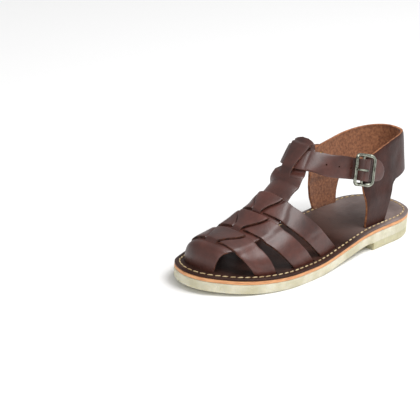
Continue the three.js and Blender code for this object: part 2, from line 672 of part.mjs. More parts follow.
// The prong, hooked down through its hole and lying on the front bar
function prongSolid() {
  const top = barrelTop + FIT + LEATHER + FIT + PRONG_RADIUS;
  const rest = bow(-halfAcross) + BUCKLE_WIRE + FIT + PRONG_RADIUS;
  const stem = rod(local(0, 0, barrelTop + FIT), local(0, 0, top), PRONG_RADIUS, 8);
  const flat = rod(local(PRONG_RADIUS, 0, top), local(-PRONG_BEND, 0, top), PRONG_RADIUS, 8);
  const end = local(-halfAcross - BUCKLE_WIRE, 0, rest);
  const tip = rod(local(PRONG_RADIUS / 2 - PRONG_BEND, 0, top), end, PRONG_RADIUS, 8);
  return stem.add(flat).add(tip);
}

// A rivet with a domed head outside and a flat back inside, on the loop at a place and height
function rivetFrame(turn, height) {
  const foot = onLoop(turn, height, 0);
  const out = onLoop(turn, height, 1).sub(foot);
  const turned = new THREE.Quaternion().setFromUnitVectors(new THREE.Vector3(0, 1, 0), out);
  return new THREE.Matrix4().makeRotationFromQuaternion(turned).setPosition(foot);
}
function rivetSolid(frame, top, dome) {
  const profile = [
    [0, -FIT - RIVET_BACK], [RIVET_HEAD * 0.8, -FIT - RIVET_BACK], [RIVET_HEAD * 0.8, -FIT],
    [RIVET_SHANK, -FIT], [RIVET_SHANK, top],
  ];
  if (dome > 0) {
    profile.push([RIVET_HEAD, top], [RIVET_HEAD, top + dome * 0.35], [RIVET_HEAD * 0.7, top + dome * 0.8]);
  }
  profile.push([0, top + dome]);
  const points = profile.map(([r, h]) => new THREE.Vector2(r, h));
  return solidOf(new THREE.LatheGeometry(points, 16).applyMatrix4(frame));
}
function hole(frame, radius) {
  const deep = 4 * LEATHER;
  const cutter = new THREE.CylinderGeometry(radius, radius, 2 * deep, 10).applyMatrix4(frame);
  return solidOf(cutter);
}

// Outsole, heel and midsole
const square = () => 0;
const rounded = () => EDGE_ROUND;
const roundedFore = (y) => EDGE_ROUND * ease((shareAt(y) - HEEL_BREAST) * 30);
const outsole = layer([
  { inset: square, height: (y) => crepeTop(y) },
  { inset: square, height: (y) => rise(y) + EDGE_ROUND },
  { inset: roundedFore, height: (y) => rise(y) },
]);
const heel = layer([
  { inset: square, height: (y) => rise(y) - FIT },
  { inset: square, height: () => EDGE_ROUND },
  { inset: rounded, height: () => 0 },
], HEEL_BREAST, 16);
const midsole = layer([
  { inset: square, height: (y) => midsoleTop(y) },
  { inset: square, height: (y) => crepeTop(y) + FIT },
]);

const group = new THREE.Group();
const crepe = { color: 0xe3dcc2, roughness: 0.75 };
const brown = { color: 0x4a2a24, roughness: 0.45 };
group.add(piece('outsole', outsole, crepe));
group.add(piece('heel', heel, crepe));
group.add(piece('midsole', midsole, { color: 0xc9773f, roughness: 0.6 }));

// Upper: base, cross straps, and the split round the ankle strap
const CROSSING = { from: 0.848, low: 0.876, high: 0.962, to: 0.98 };
const crossingLift = (run, height) => {
  const up = ease((run - CROSSING.from) / (CROSSING.low - CROSSING.from));
  const down = 1 - ease((run - CROSSING.high) / (CROSSING.to - CROSSING.high));
  return height * up * down;
};
const wholeWidth = (run) => {
  const at = Math.max(0, run);
  return [edgeOf(at, 1), edgeOf(at, -1)];
};
const flat = [() => 0, () => LEATHER];
const SEAM = 0.25;
const seamAt = (run) => {
  const before = 1 - ease((run - CROSSING.from) / 0.01);
  return SEAM * (before + ease((run - CROSSING.to + 0.004) / 0.006));
};
const leatherOn = (lift) => [(run) => lift(run) + seamAt(run), (run) => lift(run) + LEATHER - seamAt(run)];
const toeFoot = (grow, deep) => centrePiece(-deep / LENGTH, 0.03, 4, (run) => {
  const [outer, inner] = wholeWidth(run);
  return [outer + grow, inner + grow];
}, () => -grow, () => LEATHER + grow);
const SPLIT = 0.6;
const over = (run) => crossingLift(run, LEATHER + 2 * FIT);
const under = (run) => crossingLift(run, -LEATHER - FIT);
const centre = [
  centrePiece(-TUCK / LENGTH, CROSSING.from, 30, wholeWidth, ...flat),
  centrePiece(
    CROSSING.from - 0.01, CROSSING.to + 0.006, 18, (run) => [slitOf(run), slitOf(run)], ...leatherOn(over), 4),
  ...[1, -1].map((side) => centrePiece(CROSSING.from - 0.01, CROSSING.to + 0.006, 16, (run) => {
    const near = slitOf(run) + SPLIT * ease(crossingLift(run, 1) * 4);
    const far = edgeOf(run, side);
    return side > 0 ? [far, -near] : [-near, far];
  }, ...leatherOn(under), 2)),
  centrePiece(CROSSING.to - 0.004, 1, 3, wholeWidth, ...flat),
];
const numbers = [1, 2, 3];
const woven = joined([...centre, ...numbers.map((number) => crossStrap(number)), ...numbers.map(bridge)]);

// The tab's end is rounded
const tabTop = onLast(1, 0);
const tabRound = edgeOf(1, 1) * 1.04;
const onTab = new THREE.Matrix4().makeRotationX(-Math.atan(LEAN_BACK)).setPosition(tabTop);
const tabCut = solidOf(new THREE.BoxGeometry(2 * STRIP_WIDTH, STRIP_WIDTH, STRIP_WIDTH)
  .translate(0, 0, STRIP_WIDTH / 2 - tabRound).applyMatrix4(onTab));
const tabDisc = solidOf(new THREE.CylinderGeometry(tabRound, tabRound, 3 * STRIP_WIDTH, 24)
  .translate(0, 0, -tabRound).applyMatrix4(onTab));
group.add(piece('upper', woven.subtract(tabCut.subtract(tabDisc)), brown));

// Heel quarter, folded round the buckle's bar and riveted behind it
const rivetTurn = -turnAt(yAt(RIVET_AT));
const rivetPlace = rivetFrame(rivetTurn, strapHeight(rivetTurn));
const foldRivetY = QUARTER_FRONT + BUCKLE_WIDTH / 2 + FIT;
const foldRivetTurn = turnAt(foldRivetY);
const foldPlace = rivetFrame(foldRivetTurn, strapHeight(foldRivetTurn));
const halfFold = FOLD_LENGTH / 2;
const barrel = rod(local(0, -halfFold, BAR_OFF), local(0, halfFold, BAR_OFF), BARREL, 14);
const barHole = rod(local(0, -halfTall, BAR_OFF), local(0, halfTall, BAR_OFF), BAR_RADIUS + FIT, 10);
const quarter = joined([quarterBand(), quarterLeg(1), quarterLeg(-1), barrel])
  .subtract(barHole).subtract(hole(rivetPlace, RIVET_HOLE)).subtract(hole(foldPlace, RIVET_HOLE));
group.add(piece('heel_quarter', quarter, brown));

// Ankle strap with its punched holes
const firstHole = QUARTER_FRONT - HOLE_PITCH;
const holeYs = [0, 1, 2].map((k) => firstHole - k * HOLE_PITCH * 0.93);
const holeFrames = [QUARTER_FRONT, ...holeYs].map((y) => {
  const turn = turnAt(y);
  return rivetFrame(turn, strapHeight(turn));
});
const punches = joined(holeFrames.map((frame) => hole(frame, HOLE_RADIUS)));
const prongHole = rod(local(0, 0, 0), local(0, 0, 2 * barrelTop), HOLE_RADIUS);
const strap = strapSheet().subtract(punches).subtract(prongHole).subtract(hole(rivetPlace, RIVET_HOLE));
group.add(piece('ankle_strap', strap, brown));

// Buckle, prong and rivets
const metal = { color: 0xa9a79c, roughness: 0.35, metalness: 1 };
group.add(piece('buckle', buckleSolid(), metal));
group.add(piece('buckle_prong', prongSolid(), metal));
const brass = { color: 0x9c7b3c, roughness: 0.35, metalness: 1 };
group.add(piece('strap_rivet', rivetSolid(rivetPlace, 2 * LEATHER + 2 * FIT, 1.6), brass));
group.add(piece('buckle_rivet', rivetSolid(foldPlace, LEATHER - FIT, 0), brass));

// Insole, with a slot for each foot of the upper
const slots = joined([
  toeFoot(FIT, CUT_DEPTH),
  ...numbers.map((number) => crossStrap(number, FIT, CUT_DEPTH)),
  quarterLeg(1, FIT, CUT_DEPTH),
  quarterLeg(-1, FIT, CUT_DEPTH),
]);
const insole = layer([
  { inset: square, height: (y) => insoleTop(y) },
  { inset: square, height: (y) => midsoleTop(y) + FIT },
]).subtract(slots);
group.add(piece('insole', insole, { color: 0x3c2721, roughness: 0.5 }));

// The shoe stands with the middle of its box over the origin.
const shoe = new THREE.Group();
shoe.add(...group.children);
const middle = new THREE.Box3().setFromObject(shoe).getCenter(new THREE.Vector3());
shoe.position.set(-middle.x, -middle.y, 0);
group.add(shoe);

export default group;
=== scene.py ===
"""Looks of a huarache sandal for the left foot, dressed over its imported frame."""

import bisect
import math

import bpy
from mathutils import Matrix, Vector, noise


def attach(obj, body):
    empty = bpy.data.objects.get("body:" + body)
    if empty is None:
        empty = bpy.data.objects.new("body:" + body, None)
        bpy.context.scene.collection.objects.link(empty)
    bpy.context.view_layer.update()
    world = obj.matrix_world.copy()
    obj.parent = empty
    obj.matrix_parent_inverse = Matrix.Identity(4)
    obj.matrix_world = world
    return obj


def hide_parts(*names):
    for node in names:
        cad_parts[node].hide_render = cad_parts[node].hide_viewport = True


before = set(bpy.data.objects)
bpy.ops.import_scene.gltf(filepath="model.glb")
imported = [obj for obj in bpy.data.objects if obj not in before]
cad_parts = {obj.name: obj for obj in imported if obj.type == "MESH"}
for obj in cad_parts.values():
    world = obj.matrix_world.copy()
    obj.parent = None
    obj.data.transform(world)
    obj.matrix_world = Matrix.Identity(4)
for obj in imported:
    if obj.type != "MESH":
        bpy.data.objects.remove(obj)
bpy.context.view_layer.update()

# The outsole is one sheet of crepe rubber, raised over the shank and the heel lift and sprung at the
# toe. Crepe is cut with a hot knife, so its edge is soft, slightly see-through and finely wrinkled.
LENGTH = 275.0
BALL_WIDTH = 94.4
CREPE = 8.6
HEEL_LIFT = 7.8
TOE_SPRING = 4.0
BOX_MIDDLE = Vector((1.046, 0.412, 0.0))


def table(heads, *rows):
    return {head: [row[k] for row in rows] for k, head in enumerate(heads.split())}


def read(rows, along, name, at):
    """Value of a column at a place along another, on a smooth curve that never overshoots."""
    xs, ys = rows[along], rows[name]
    last = len(xs) - 1
    i = min(last - 1, max(0, bisect.bisect_left(xs, at) - 1))

    def gap(k):
        return xs[k + 1] - xs[k]

    def rate(k):
        return (ys[k + 1] - ys[k]) / gap(k)

    def slope(k):
        if k in (0, last):
            return rate(0 if k == 0 else last - 1)
        before, after = rate(k - 1), rate(k)
        if before * after <= 0:
            return 0.0
        mean = (before * gap(k) + after * gap(k - 1)) / (gap(k) + gap(k - 1))
        return math.copysign(min(abs(mean), 3 * min(abs(before), abs(after))), mean)

    h = gap(i)
    u = min(1.0, max(0.0, (at - xs[i]) / h))
    near = (1 + 2 * u) * (1 - u) ** 2 * ys[i] + u * (1 - u) ** 2 * h * slope(i)
    return near + u * u * (3 - 2 * u) * ys[i + 1] - u * u * (1 - u) * h * slope(i + 1)


def ease(u):
    u = min(1.0, max(0.0, u))
    return u * u * (3 - 2 * u)


def y_at(share):
    return LENGTH / 2 - share * LENGTH


def share_at(y):
    return (LENGTH / 2 - y) / LENGTH


def rise(y):
    """Height of the outsole's underside over the floor."""
    share = share_at(y)
    return HEEL_LIFT * (1 - ease((share - 0.22) / 0.4)) + TOE_SPRING * max(0.0, (share - 0.7) / 0.3) ** 2


SOLE = table(
    "at outer inner shift",
    (0.0, 0.0, 0.0, 0.0),
    (0.03, 0.244, 0.246, 0.0),
    (0.1, 0.348, 0.358, 0.0),
    (0.2, 0.375, 0.38, 0.0),
    (0.32, 0.396, 0.358, 0.0),
    (0.45, 0.447, 0.36, 0.0),
    (0.58, 0.5, 0.427, 0.0),
    (0.7, 0.514, 0.485, 0.0),
    (0.8, 0.483, 0.482, -0.01),
    (0.9, 0.374, 0.389, -0.026),
    (0.965, 0.244, 0.245, -0.066),
    (1.0, 0.0, 0.0, -0.066),
)
SOLE["turn"] = [math.acos(1 - 2 * at) for at in SOLE["at"]]


def sole_edge(turn, inset=0.0):
    """The sole's outline, from the heel (0) round the outer side to the toe (pi) and back."""

    def base(angle):
        angle %= 2 * math.pi
        half = angle if angle <= math.pi else 2 * math.pi - angle
        side = "outer" if angle <= math.pi else "inner"
        width = read(SOLE, "turn", side, half) * (1 if side == "outer" else -1)
        shift = read(SOLE, "turn", "shift", half)
        return Vector((BALL_WIDTH * (shift + width), y_at((1 - math.cos(half)) / 2)))

    here = base(turn)
    if inset:
        along = (base(turn + 0.01) - base(turn - 0.01)).normalized()
        here -= Vector((-along.y, along.x)) * inset
    return here


def edge_x(share, side):
    turn = math.acos(min(1.0, max(-1.0, 1 - 2 * share)))
    width = read(SOLE, "turn", "outer" if side > 0 else "inner", turn)
    return BALL_WIDTH * (read(SOLE, "turn", "shift", turn) + side * width)


def in_frame(point):
    """A point of the shoe in millimetres, as the frame's metres, with the shoe's box over the origin."""
    return (Vector(point) - BOX_MIDDLE) * 0.001


def grid(name, columns, rows, place):
    """A grid whose squares are put in their places: place(u, v) gives millimetres."""
    bpy.ops.object.select_all(action="DESELECT")
    bpy.ops.mesh.primitive_grid_add(x_subdivisions=columns, y_subdivisions=rows, size=2)
    made = bpy.context.object
    made.name = name
    for vertex in made.data.vertices:
        u = round((vertex.co.x + 1) / 2 * columns) / columns
        v = round((vertex.co.y + 1) / 2 * rows) / rows
        vertex.co = in_frame(place(u, v))
    return made


def close_up(made):
    """Merges the seam and the poles of a closed shape and turns its faces out."""
    bpy.ops.object.mode_set(mode="EDIT")
    bpy.ops.mesh.select_all(action="SELECT")
    bpy.ops.mesh.remove_doubles(threshold=1e-6)
    bpy.ops.mesh.normals_make_consistent(inside=False)
    bpy.ops.object.mode_set(mode="OBJECT")


BREAST_PART = 0.16


def sole_layer(name, levels, turns=240, until=1.0, inner_rings=7):
    """A closed layer of the sole: levels run from its top edge to its bottom edge, as (inset, height)."""
    last_turn = math.acos(1 - 2 * until)
    middle = Vector((0.0, (y_at(0) + y_at(until)) / 2))
    first, last = levels[0], levels[-1]
    rings = [(k / inner_rings, *first) for k in range(inner_rings)]
    rings += [(1.0, *level) for level in levels]
    rings += [(k / inner_rings, *last) for k in reversed(range(inner_rings))]

    def place(u, v):
        scale, inset, height = rings[round(v * (len(rings) - 1))]
        if callable(inset):
            inset = inset(sole_edge(2 * math.pi * u).y)
        if until == 1.0:
            spot = sole_edge(2 * math.pi * u, inset)
        else:
            if u < 1 - BREAST_PART:
                part = u / (1 - BREAST_PART)
                spot = sole_edge((2 * part - 1) * last_turn, inset)
            else:
                part = (u - 1 + BREAST_PART) / BREAST_PART
                spot = sole_edge(last_turn, inset).lerp(sole_edge(-last_turn, inset), part)
        spot = middle + (spot - middle) * scale
        return (spot.x, spot.y, height(spot.y))

    made = grid(name, turns, len(rings) - 1, place)
    close_up(made)
    bpy.ops.object.shade_smooth_by_angle(angle=math.radians(40))
    return made


def paint(code):
    """Linear colour of an sRGB hex value."""
    parts = [int(code[k : k + 2], 16) / 255 for k in (1, 3, 5)]
    return (*[p / 12.92 if p <= 0.04045 else ((p + 0.055) / 1.055) ** 2.4 for p in parts], 1.0)


def add(material, kind, inputs=None, **settings):
    """One node with its settings; an input is a value or another node's output."""
    made = material.node_tree.nodes.new(kind)
    for name, value in settings.items():
        setattr(made, name, value)
    for name, value in (inputs or {}).items():
        if isinstance(value, bpy.types.NodeSocket):
            material.node_tree.links.new(value, made.inputs[name])
        else:
            made.inputs[name].default_value = value
    return made


def finish_of(name):
    """A new material, with its shader and its object coordinates."""
    material = bpy.data.materials.new(name)
    material.use_nodes = True
    place = add(material, "ShaderNodeTexCoord").outputs["Object"]
    return material, material.node_tree.nodes["Principled BSDF"], place


def mottle(material, place, size_mm, dark, light, low=0.35, high=0.65, detail=4.0):
    """A colour that wanders between two tones over patches of a size."""
    inputs = {"Vector": place, "Scale": 1000 / size_mm, "Detail": detail}
    patches = add(material, "ShaderNodeTexNoise", inputs)
    tones = add(material, "ShaderNodeValToRGB", {"Fac": patches.outputs["Fac"]})
    tones.color_ramp.elements[0].position, tones.color_ramp.elements[1].position = low, high
    tones.color_ramp.elements[0].color, tones.color_ramp.elements[1].color = paint(dark), paint(light)
    return tones.outputs["Color"]


def roughen(material, shader, layers):
    """Bumps stacked on the shader: each layer is (pattern output, depth in mm)."""
    normal = None
    for pattern, depth in layers:
        inputs = {"Height": pattern, "Distance": depth * 0.001, "Strength": 1.0}
        if normal:
            inputs["Normal"] = normal
        normal = add(material, "ShaderNodeBump", inputs).outputs["Normal"]
    material.node_tree.links.new(normal, shader.inputs["Normal"])


def link(material, output, socket):
    material.node_tree.links.new(output, socket)


def crepe_rubber(name, dark, light):
    """Natural crepe: milky, faintly see-through, with shallow wrinkles about 4 mm apart and pores."""
    material, shader, place = finish_of(name)
    link(material, mottle(material, place, 14, dark, light), shader.inputs["Base Color"])
    shader.inputs["Roughness"].default_value = 0.55
    shader.inputs["Subsurface Weight"].default_value = 0.25
    shader.inputs["Subsurface Radius"].default_value = (0.006, 0.005, 0.003)
    shader.inputs["Subsurface Scale"].default_value = 1.0
    upright = add(material, "ShaderNodeMapping", {"Vector": place, "Scale": (1.0, 1.0, 0.45)})
    waves = {"Vector": upright.outputs["Vector"], "Scale": 260.0, "Detail": 3.0, "Distortion": 0.8}
    wrinkles = add(material, "ShaderNodeTexNoise", waves)
    pores = add(material, "ShaderNodeTexNoise", {"Vector": place, "Scale": 900.0, "Detail": 2.0})
    roughen(material, shader, [(wrinkles.outputs["Fac"], 0.9), (pores.outputs["Fac"], 0.25)])
    return material


def in_shoe(piece, node):
    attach(piece, "root")
    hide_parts(node)


def wander(y, grain, size):
    """A slow uneven wave of a cut edge, in millimetres."""
    return size * noise.noise(Vector((y / 17.0, grain, 0.3)))


HEEL_BREAST = 0.268


def fore(inset):
    """An inset that fades out over the heel, where the lift carries on the side."""
    return lambda y: inset * ease((share_at(y) - HEEL_BREAST) * 30)


outsole = sole_layer(
    "crepe_outsole",
    [
        (0.4, lambda y: rise(y) + CREPE),
        (0.0, lambda y: rise(y) + CREPE - 0.5),
        (-0.1, lambda y: rise(y) + CREPE * 0.7 + wander(y, 1.7, 0.3)),
        (0.15, lambda y: rise(y) + CREPE * 0.4 + wander(y, 4.1, 0.3)),
        (0.1, lambda y: rise(y) + 1.6),
        (fore(0.5), lambda y: rise(y) + 0.6),
        (fore(1.5), lambda y: rise(y)),
    ],
)
outsole.data.materials.append(crepe_rubber("crepe_sheet", "#c6c0a3", "#ddd8c2"))
in_shoe(outsole, "outsole")

# The heel is a lift of the same crepe, glued under the sheet and ground flush with it. It ends in a straight
# breast, and the old glue line makes it a little yellower; its colour is also painted darker than the
# sheet's, as shade on the rear of the sole.
heel = sole_layer(
    "crepe_heel",
    [
        (0.0, lambda y: rise(y) - 0.02),
        (-0.1, lambda y: rise(y) * 0.6),
        (0.0, lambda y: 1.5),
        (0.6, lambda y: 0.4),
        (1.4, lambda y: 0.0),
    ],
    turns=150,
    until=HEEL_BREAST,
    inner_rings=4,
)
# The lift's tones are darker than the sheet's: painted shade on the rear of the sole.
heel.data.materials.append(crepe_rubber("crepe_lift_painted_shade", "#b8b18c", "#cdc7a6"))
in_shoe(heel, "heel")

# The midsole is vegetable-tanned leather, left its natural colour. Its trimmed edge shows all round
# as a bright orange-tan line with the fibres lying level.
MIDSOLE = 3.2


def crepe_top(y):
    return rise(y) + CREPE


def midsole_top(y):
    return crepe_top(y) + MIDSOLE


midsole = sole_layer(
    "natural_midsole",
    [
        (0.5, midsole_top),
        (0.1, lambda y: midsole_top(y) - 0.3),
        (0.0, lambda y: midsole_top(y) - MIDSOLE / 2),
        (0.1, lambda y: crepe_top(y) + 0.5),
        (0.5, lambda y: crepe_top(y) + 0.15),
    ],
    inner_rings=3,
)
tan, tan_shader, tan_place = finish_of("vegetable_tanned_edge")
level = add(tan, "ShaderNodeMapping", {"Vector": tan_place, "Scale": (1.0, 1.0, 9.0)}).outputs["Vector"]
link(tan, mottle(tan, level, 9, "#c9875a", "#efb27c", 0.3, 0.7), tan_shader.inputs["Base Color"])
tan_shader.inputs["Roughness"].default_value = 0.55
fibres = add(tan, "ShaderNodeTexNoise", {"Vector": level, "Scale": 220.0, "Detail": 4.0})
roughen(tan, tan_shader, [(fibres.outputs["Fac"], 0.25)])
midsole.data.materials.append(tan)
in_shoe(midsole, "midsole")

# The insole is dark waxed leather, stitched down all round with a thick cream thread laid in a shallow
# groove. The foot has polished it and pressed soft wrinkles into the seat of the heel. Its colour is painted
# darker over the fore part, as shade under the straps, and greyer over the heel, as a painted sheen.
INSOLE = 2.2
STITCH_INSET = 4.3
STITCH_PITCH = 6.4


def insole_top(y):
    return midsole_top(y) + INSOLE


insole = sole_layer(
    "waxed_insole",
    [
        (13.0, insole_top),
        (9.0, insole_top),
        (STITCH_INSET + 1.4, insole_top),
        (STITCH_INSET, lambda y: insole_top(y) - 0.4),
        (STITCH_INSET - 1.3, insole_top),
        (1.2, insole_top),
        (0.5, lambda y: insole_top(y) - 0.15),
        (0.1, lambda y: insole_top(y) - 0.6),
        (0.1, lambda y: midsole_top(y) + 0.4),
        (0.6, lambda y: midsole_top(y) + 0.1),
    ],
    turns=300,
    inner_rings=12,
)
SEAT_WRINKLES = [
    (12.0, 100.0, -18.0, 91.0, 2.8, 1.1),
    (16.0, 91.0, -10.0, 82.0, 2.4, 0.9),
    (6.0, 109.0, -15.0, 103.0, 2.2, 0.7),
    (8.0, 82.0, -16.0, 74.0, 2.6, 0.6),
    (20.0, -8.0, 6.0, -14.0, 3.0, 0.4),
]


def crease(lines, x, y):
    """Depth of soft creases at a point: each line is two ends, a width and a depth."""
    depth = 0.0
    for x0, y0, x1, y1, width, deep in lines:
        dx, dy = x1 - x0, y1 - y0
        part = min(1.0, max(0.0, ((x - x0) * dx + (y - y0) * dy) / (dx * dx + dy * dy)))
        off = math.hypot(x - x0 - part * dx, y - y0 - part * dy) / width
        depth += deep * math.exp(-off * off) * math.sin(math.pi * (0.15 + 0.7 * part))
    return depth


for vertex in insole.data.vertices:
    x, y = vertex.co.x * 1000 + BOX_MIDDLE.x, vertex.co.y * 1000 + BOX_MIDDLE.y
    if vertex.co.z * 1000 > insole_top(y) - 0.1:
        vertex.co.z -= crease(SEAT_WRINKLES, x, y) * 0.001

waxed, waxed_shader, waxed_place = finish_of("waxed_leather")
# Painted shade and sheen: the fore part's tone is darker as painted shade under the straps, and the heel's
# tone greyer as a painted sheen; the polish itself is the higher specular level at the heel.
fore_tone_painted_shade = mottle(waxed, waxed_place, 24, "#271611", "#452c25", 0.3, 0.72, 6.0)
heel_tone_painted_sheen = mottle(waxed, waxed_place, 30, "#5c4b46", "#8f7e79", 0.3, 0.7, 6.0)
axes = add(waxed, "ShaderNodeSeparateXYZ", {"Vector": waxed_place})
at_heel = add(waxed, "ShaderNodeMapRange", {"Value": axes.outputs["Y"], "From Min": 0.02, "From Max": 0.1})
painted_shade_and_sheen = add(waxed, "ShaderNodeMix", {"Factor": at_heel.outputs["Result"]}, data_type="RGBA")
link(waxed, fore_tone_painted_shade, painted_shade_and_sheen.inputs["A"])
link(waxed, heel_tone_painted_sheen, painted_shade_and_sheen.inputs["B"])
link(waxed, painted_shade_and_sheen.outputs["Result"], waxed_shader.inputs["Base Color"])
worn = add(waxed, "ShaderNodeTexNoise", {"Vector": waxed_place, "Scale": 60.0, "Detail": 5.0})
dull = add(waxed, "ShaderNodeMapRange", {"Value": worn.outputs["Fac"], "To Min": 0.32, "To Max": 0.58})
link(waxed, dull.outputs["Result"], waxed_shader.inputs["Roughness"])
polish = add(waxed, "ShaderNodeMapRange", {"Value": at_heel.outputs["Result"], "To Min": 0.12, "To Max": 0.6})
link(waxed, polish.outputs["Result"], waxed_shader.inputs["Specular IOR Level"])
hide = add(waxed, "ShaderNodeTexVoronoi", {"Vector": waxed_place, "Scale": 700.0})
roughen(waxed, waxed_shader, [(worn.outputs["Fac"], 0.5), (hide.outputs["Distance"], 0.08)])
insole.data.materials.append(waxed)
in_shoe(insole, "insole")

bpy.ops.object.select_all(action="DESELECT")
bpy.ops.mesh.primitive_uv_sphere_add(segments=10, ring_count=7, radius=1.0)
stitch = bpy.context.object
walk = [sole_edge(2 * math.pi * k / 1440, STITCH_INSET) for k in range(1441)]
travelled = [0.0]
for k in range(1440):
    travelled.append(travelled[-1] + (walk[k + 1] - walk[k]).length)
count = round(travelled[-1] / STITCH_PITCH)
stitches = []
for n in range(count):
    k = bisect.bisect_left(travelled, n * travelled[-1] / count)
    spot = walk[k]
    along = (walk[min(1440, k + 3)] - walk[max(0, k - 3)]).normalized()
    copy = stitch.copy()
    copy.data = stitch.data.copy()
    bpy.context.collection.objects.link(copy)
    turned = Matrix.Rotation(math.atan2(along.y, along.x) + 0.1, 4, "Z")
    place = Matrix.Translation(in_frame((spot.x, spot.y, insole_top(spot.y) - 0.05)))
    copy.data.transform(place @ turned @ Matrix.Diagonal((0.0027, 0.00072, 0.0006, 1.0)))
    stitches.append(copy)
bpy.data.objects.remove(stitch)
bpy.ops.object.select_all(action="DESELECT")
for copy in stitches:
    copy.select_set(True)
bpy.context.view_layer.objects.active = stitches[0]
bpy.ops.object.join()
thread_line = bpy.context.object
thread_line.name = "insole_stitching"
bpy.ops.object.shade_smooth()
thread, thread_shader, thread_place = finish_of("waxed_thread")
link(thread, mottle(thread, thread_place, 5, "#a98c63", "#d9c49a"), thread_shader.inputs["Base Color"])
thread_shader.inputs["Roughness"].default_value = 0.75
twist = add(thread, "ShaderNodeTexNoise", {"Vector": thread_place, "Scale": 1500.0})
roughen(thread, thread_shader, [(twist.outputs["Fac"], 0.2)])
thread_line.data.materials.append(thread)
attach(thread_line, "root")

# The upper is cut from oiled pull-up leather 2.2 mm thick. A toe piece runs on as a strip up the
# instep, and three cross straps go through its slits. All of it follows the arches of the last.
LEATHER = 2.2
INSTEP = 48.0
FOOT_INSET = 10.2
STRIP_WIDTH = 25.0
TUCK = 1.6

# Above the instep the last runs into the oval of the ankle, which leans in over the foot and back
# with the shin.
LOOP_WIDTH = 58.0
LOOP_FRONT = 0.513
ANKLE = 91.5
BUCKLE_AT = 0.322
LEAN_BACK = 1.2
LEAN_IN = 0.2
LEAN_OVER = 20.0
LEAN_DROP = 2.0
LOOP_LOW = 0.635 * ANKLE
LEAN_START = BUCKLE_AT + 0.03
LEAN_RUN = (0.76, 0.875)
ARCHES = table(
    "run crown outer inner rise foot centre outer_wide outer_tall inner_wide inner_tall",
    (0.0, 0.943, 0.9, 0.903, 0.0, 0.0, -0.07, 2.2, 1.8, 2.2, 1.8),
    (0.06, 0.939, 0.897, 0.903, 0.24, 0.0, -0.066, 2.3, 1.8, 2.6, 1.9),
    (0.11, 0.927, 0.88, 0.902, 0.385, 0.0, -0.058, 2.5, 1.9, 2.7, 2.1),
    (0.17, 0.9, 0.843, 0.895, 0.43, 0.0, -0.045, 2.86, 2.1, 2.7, 2.3),
    (0.32, 0.813, 0.77, 0.833, 0.5, 0.0, -0.042, 2.44, 2.4, 2.4, 2.5),
    (0.36, 0.787, 0.695, 0.77, 0.54, 0.0, -0.036, 2.13, 2.7, 2.3, 2.6),
    (0.5, 0.714, 0.598, 0.7, 0.73, 0.0, -0.03, 1.89, 3.1, 2.1, 2.7),
    (0.53, 0.7, 0.555, 0.63, 0.78, 0.0, -0.028, 1.69, 3.6, 1.9, 2.8),
    (0.67, 0.637, 0.469, 0.548, 1.0, 0.0, -0.04, 1.54, 4.3, 2.1, 3.0),
    (0.76, 0.592, 0.44, 0.48, 1.17, 0.35, -0.036, 1.9, 3.2, 2.3, 3.0),
    (0.85, 0.521, 0.33, 0.35, 1.29, 1.12, -0.006, 2.2, 2.2, 2.2, 2.2),
    (0.875, 0.513, 0.259, 0.259, 1.365, 1.235, 0.0, 2.2, 2.2, 2.2, 2.2),
    (0.96, 0.513, 0.259, 0.259, 1.68, 1.55, 0.0, 2.2, 2.2, 2.2, 2.2),
    (1.0, 0.51, 0.259, 0.259, 1.805, 1.675, 0.0, 2.2, 2.2, 2.2, 2.2),
)
CENTRE = table(
    "run outer inner slit",
    (0.0, 0.6, 0.98, 0.2),
    (0.11, 0.74, 0.9, 0.2),
    (0.17, 0.86, 0.8, 0.22),
    (0.32, 0.9, 0.76, 0.53),
    (0.36, 0.9, 0.74, 0.16),
    (0.5, 0.9, 0.7, 0.53),
    (0.53, 0.86, 0.7, 0.16),
    (0.67, 0.62, 0.66, 0.46),
    (0.74, 0.59, 0.86, 0.33),
    (0.79, 0.6, 0.82, 0.27),
    (0.85, 0.66, 0.58, 0.21),
    (0.88, 0.62, 0.54, 0.2),
    (0.97, 0.56, 0.54, 0.34),
    (1.0, 0.56, 0.54, 0.34),
)
arches = {}


def arch_at(run, side):
    """Points of half an arch from its crown to its foot and on into the slot, with their distances."""
    key = (round(run, 6), side)
    if key in arches:
        return arches[key]

    def get(name):
        return read(ARCHES, "run", name, run)

    half = "outer" if side > 0 else "inner"
    crown_y = y_at(get("crown"))
    crown = Vector((get("centre") * BALL_WIDTH, crown_y, insole_top(crown_y) + get("rise") * INSTEP))
    foot_y = y_at(get(half))
    loop_x = side * LOOP_WIDTH / 2
    last_x = edge_x(get(half), side) - side * FOOT_INSET
    foot_x = last_x + (loop_x - last_x) * ease(get("foot"))
    foot_z = insole_top(foot_y) + get("foot") * INSTEP
    points = []
    steps = 90
    for k in range(steps + 1):
        angle = math.pi / 2 * k / steps
        out = math.sin(angle) ** (2 / get(half + "_wide"))
        up = max(0.0, math.cos(angle)) ** (2 / get(half + "_tall"))
        x = crown.x + (foot_x - crown.x) * out
        points.append(Vector((x, foot_y + (crown.y - foot_y) * up, foot_z + (crown.z - foot_z) * up)))
    points.append(points[-1] - Vector((0.0, 0.0, TUCK)))
    lengths = [0.0]
    for before, after in zip(points, points[1:]):
        lengths.append(lengths[-1] + (after - before).length)
    arches[key] = (points, lengths, lengths[-2])
    return arches[key]


def lean(spot, part=1.0):
    """The lean of the ankle's oval, applied to a point in part or in full."""
    up = max(0.0, spot.z - LOOP_LOW + LEAN_OVER)
    inward = LEAN_IN * (up * up / (2 * LEAN_OVER) if up < LEAN_OVER else up - LEAN_OVER / 2)
    front = ease((share_at(spot.y) - LEAN_START) / (LOOP_FRONT - LEAN_START))
    return spot + part * Vector((-inward, LEAN_BACK * (spot.z - ANKLE + LEAN_DROP) * front, 0.0))


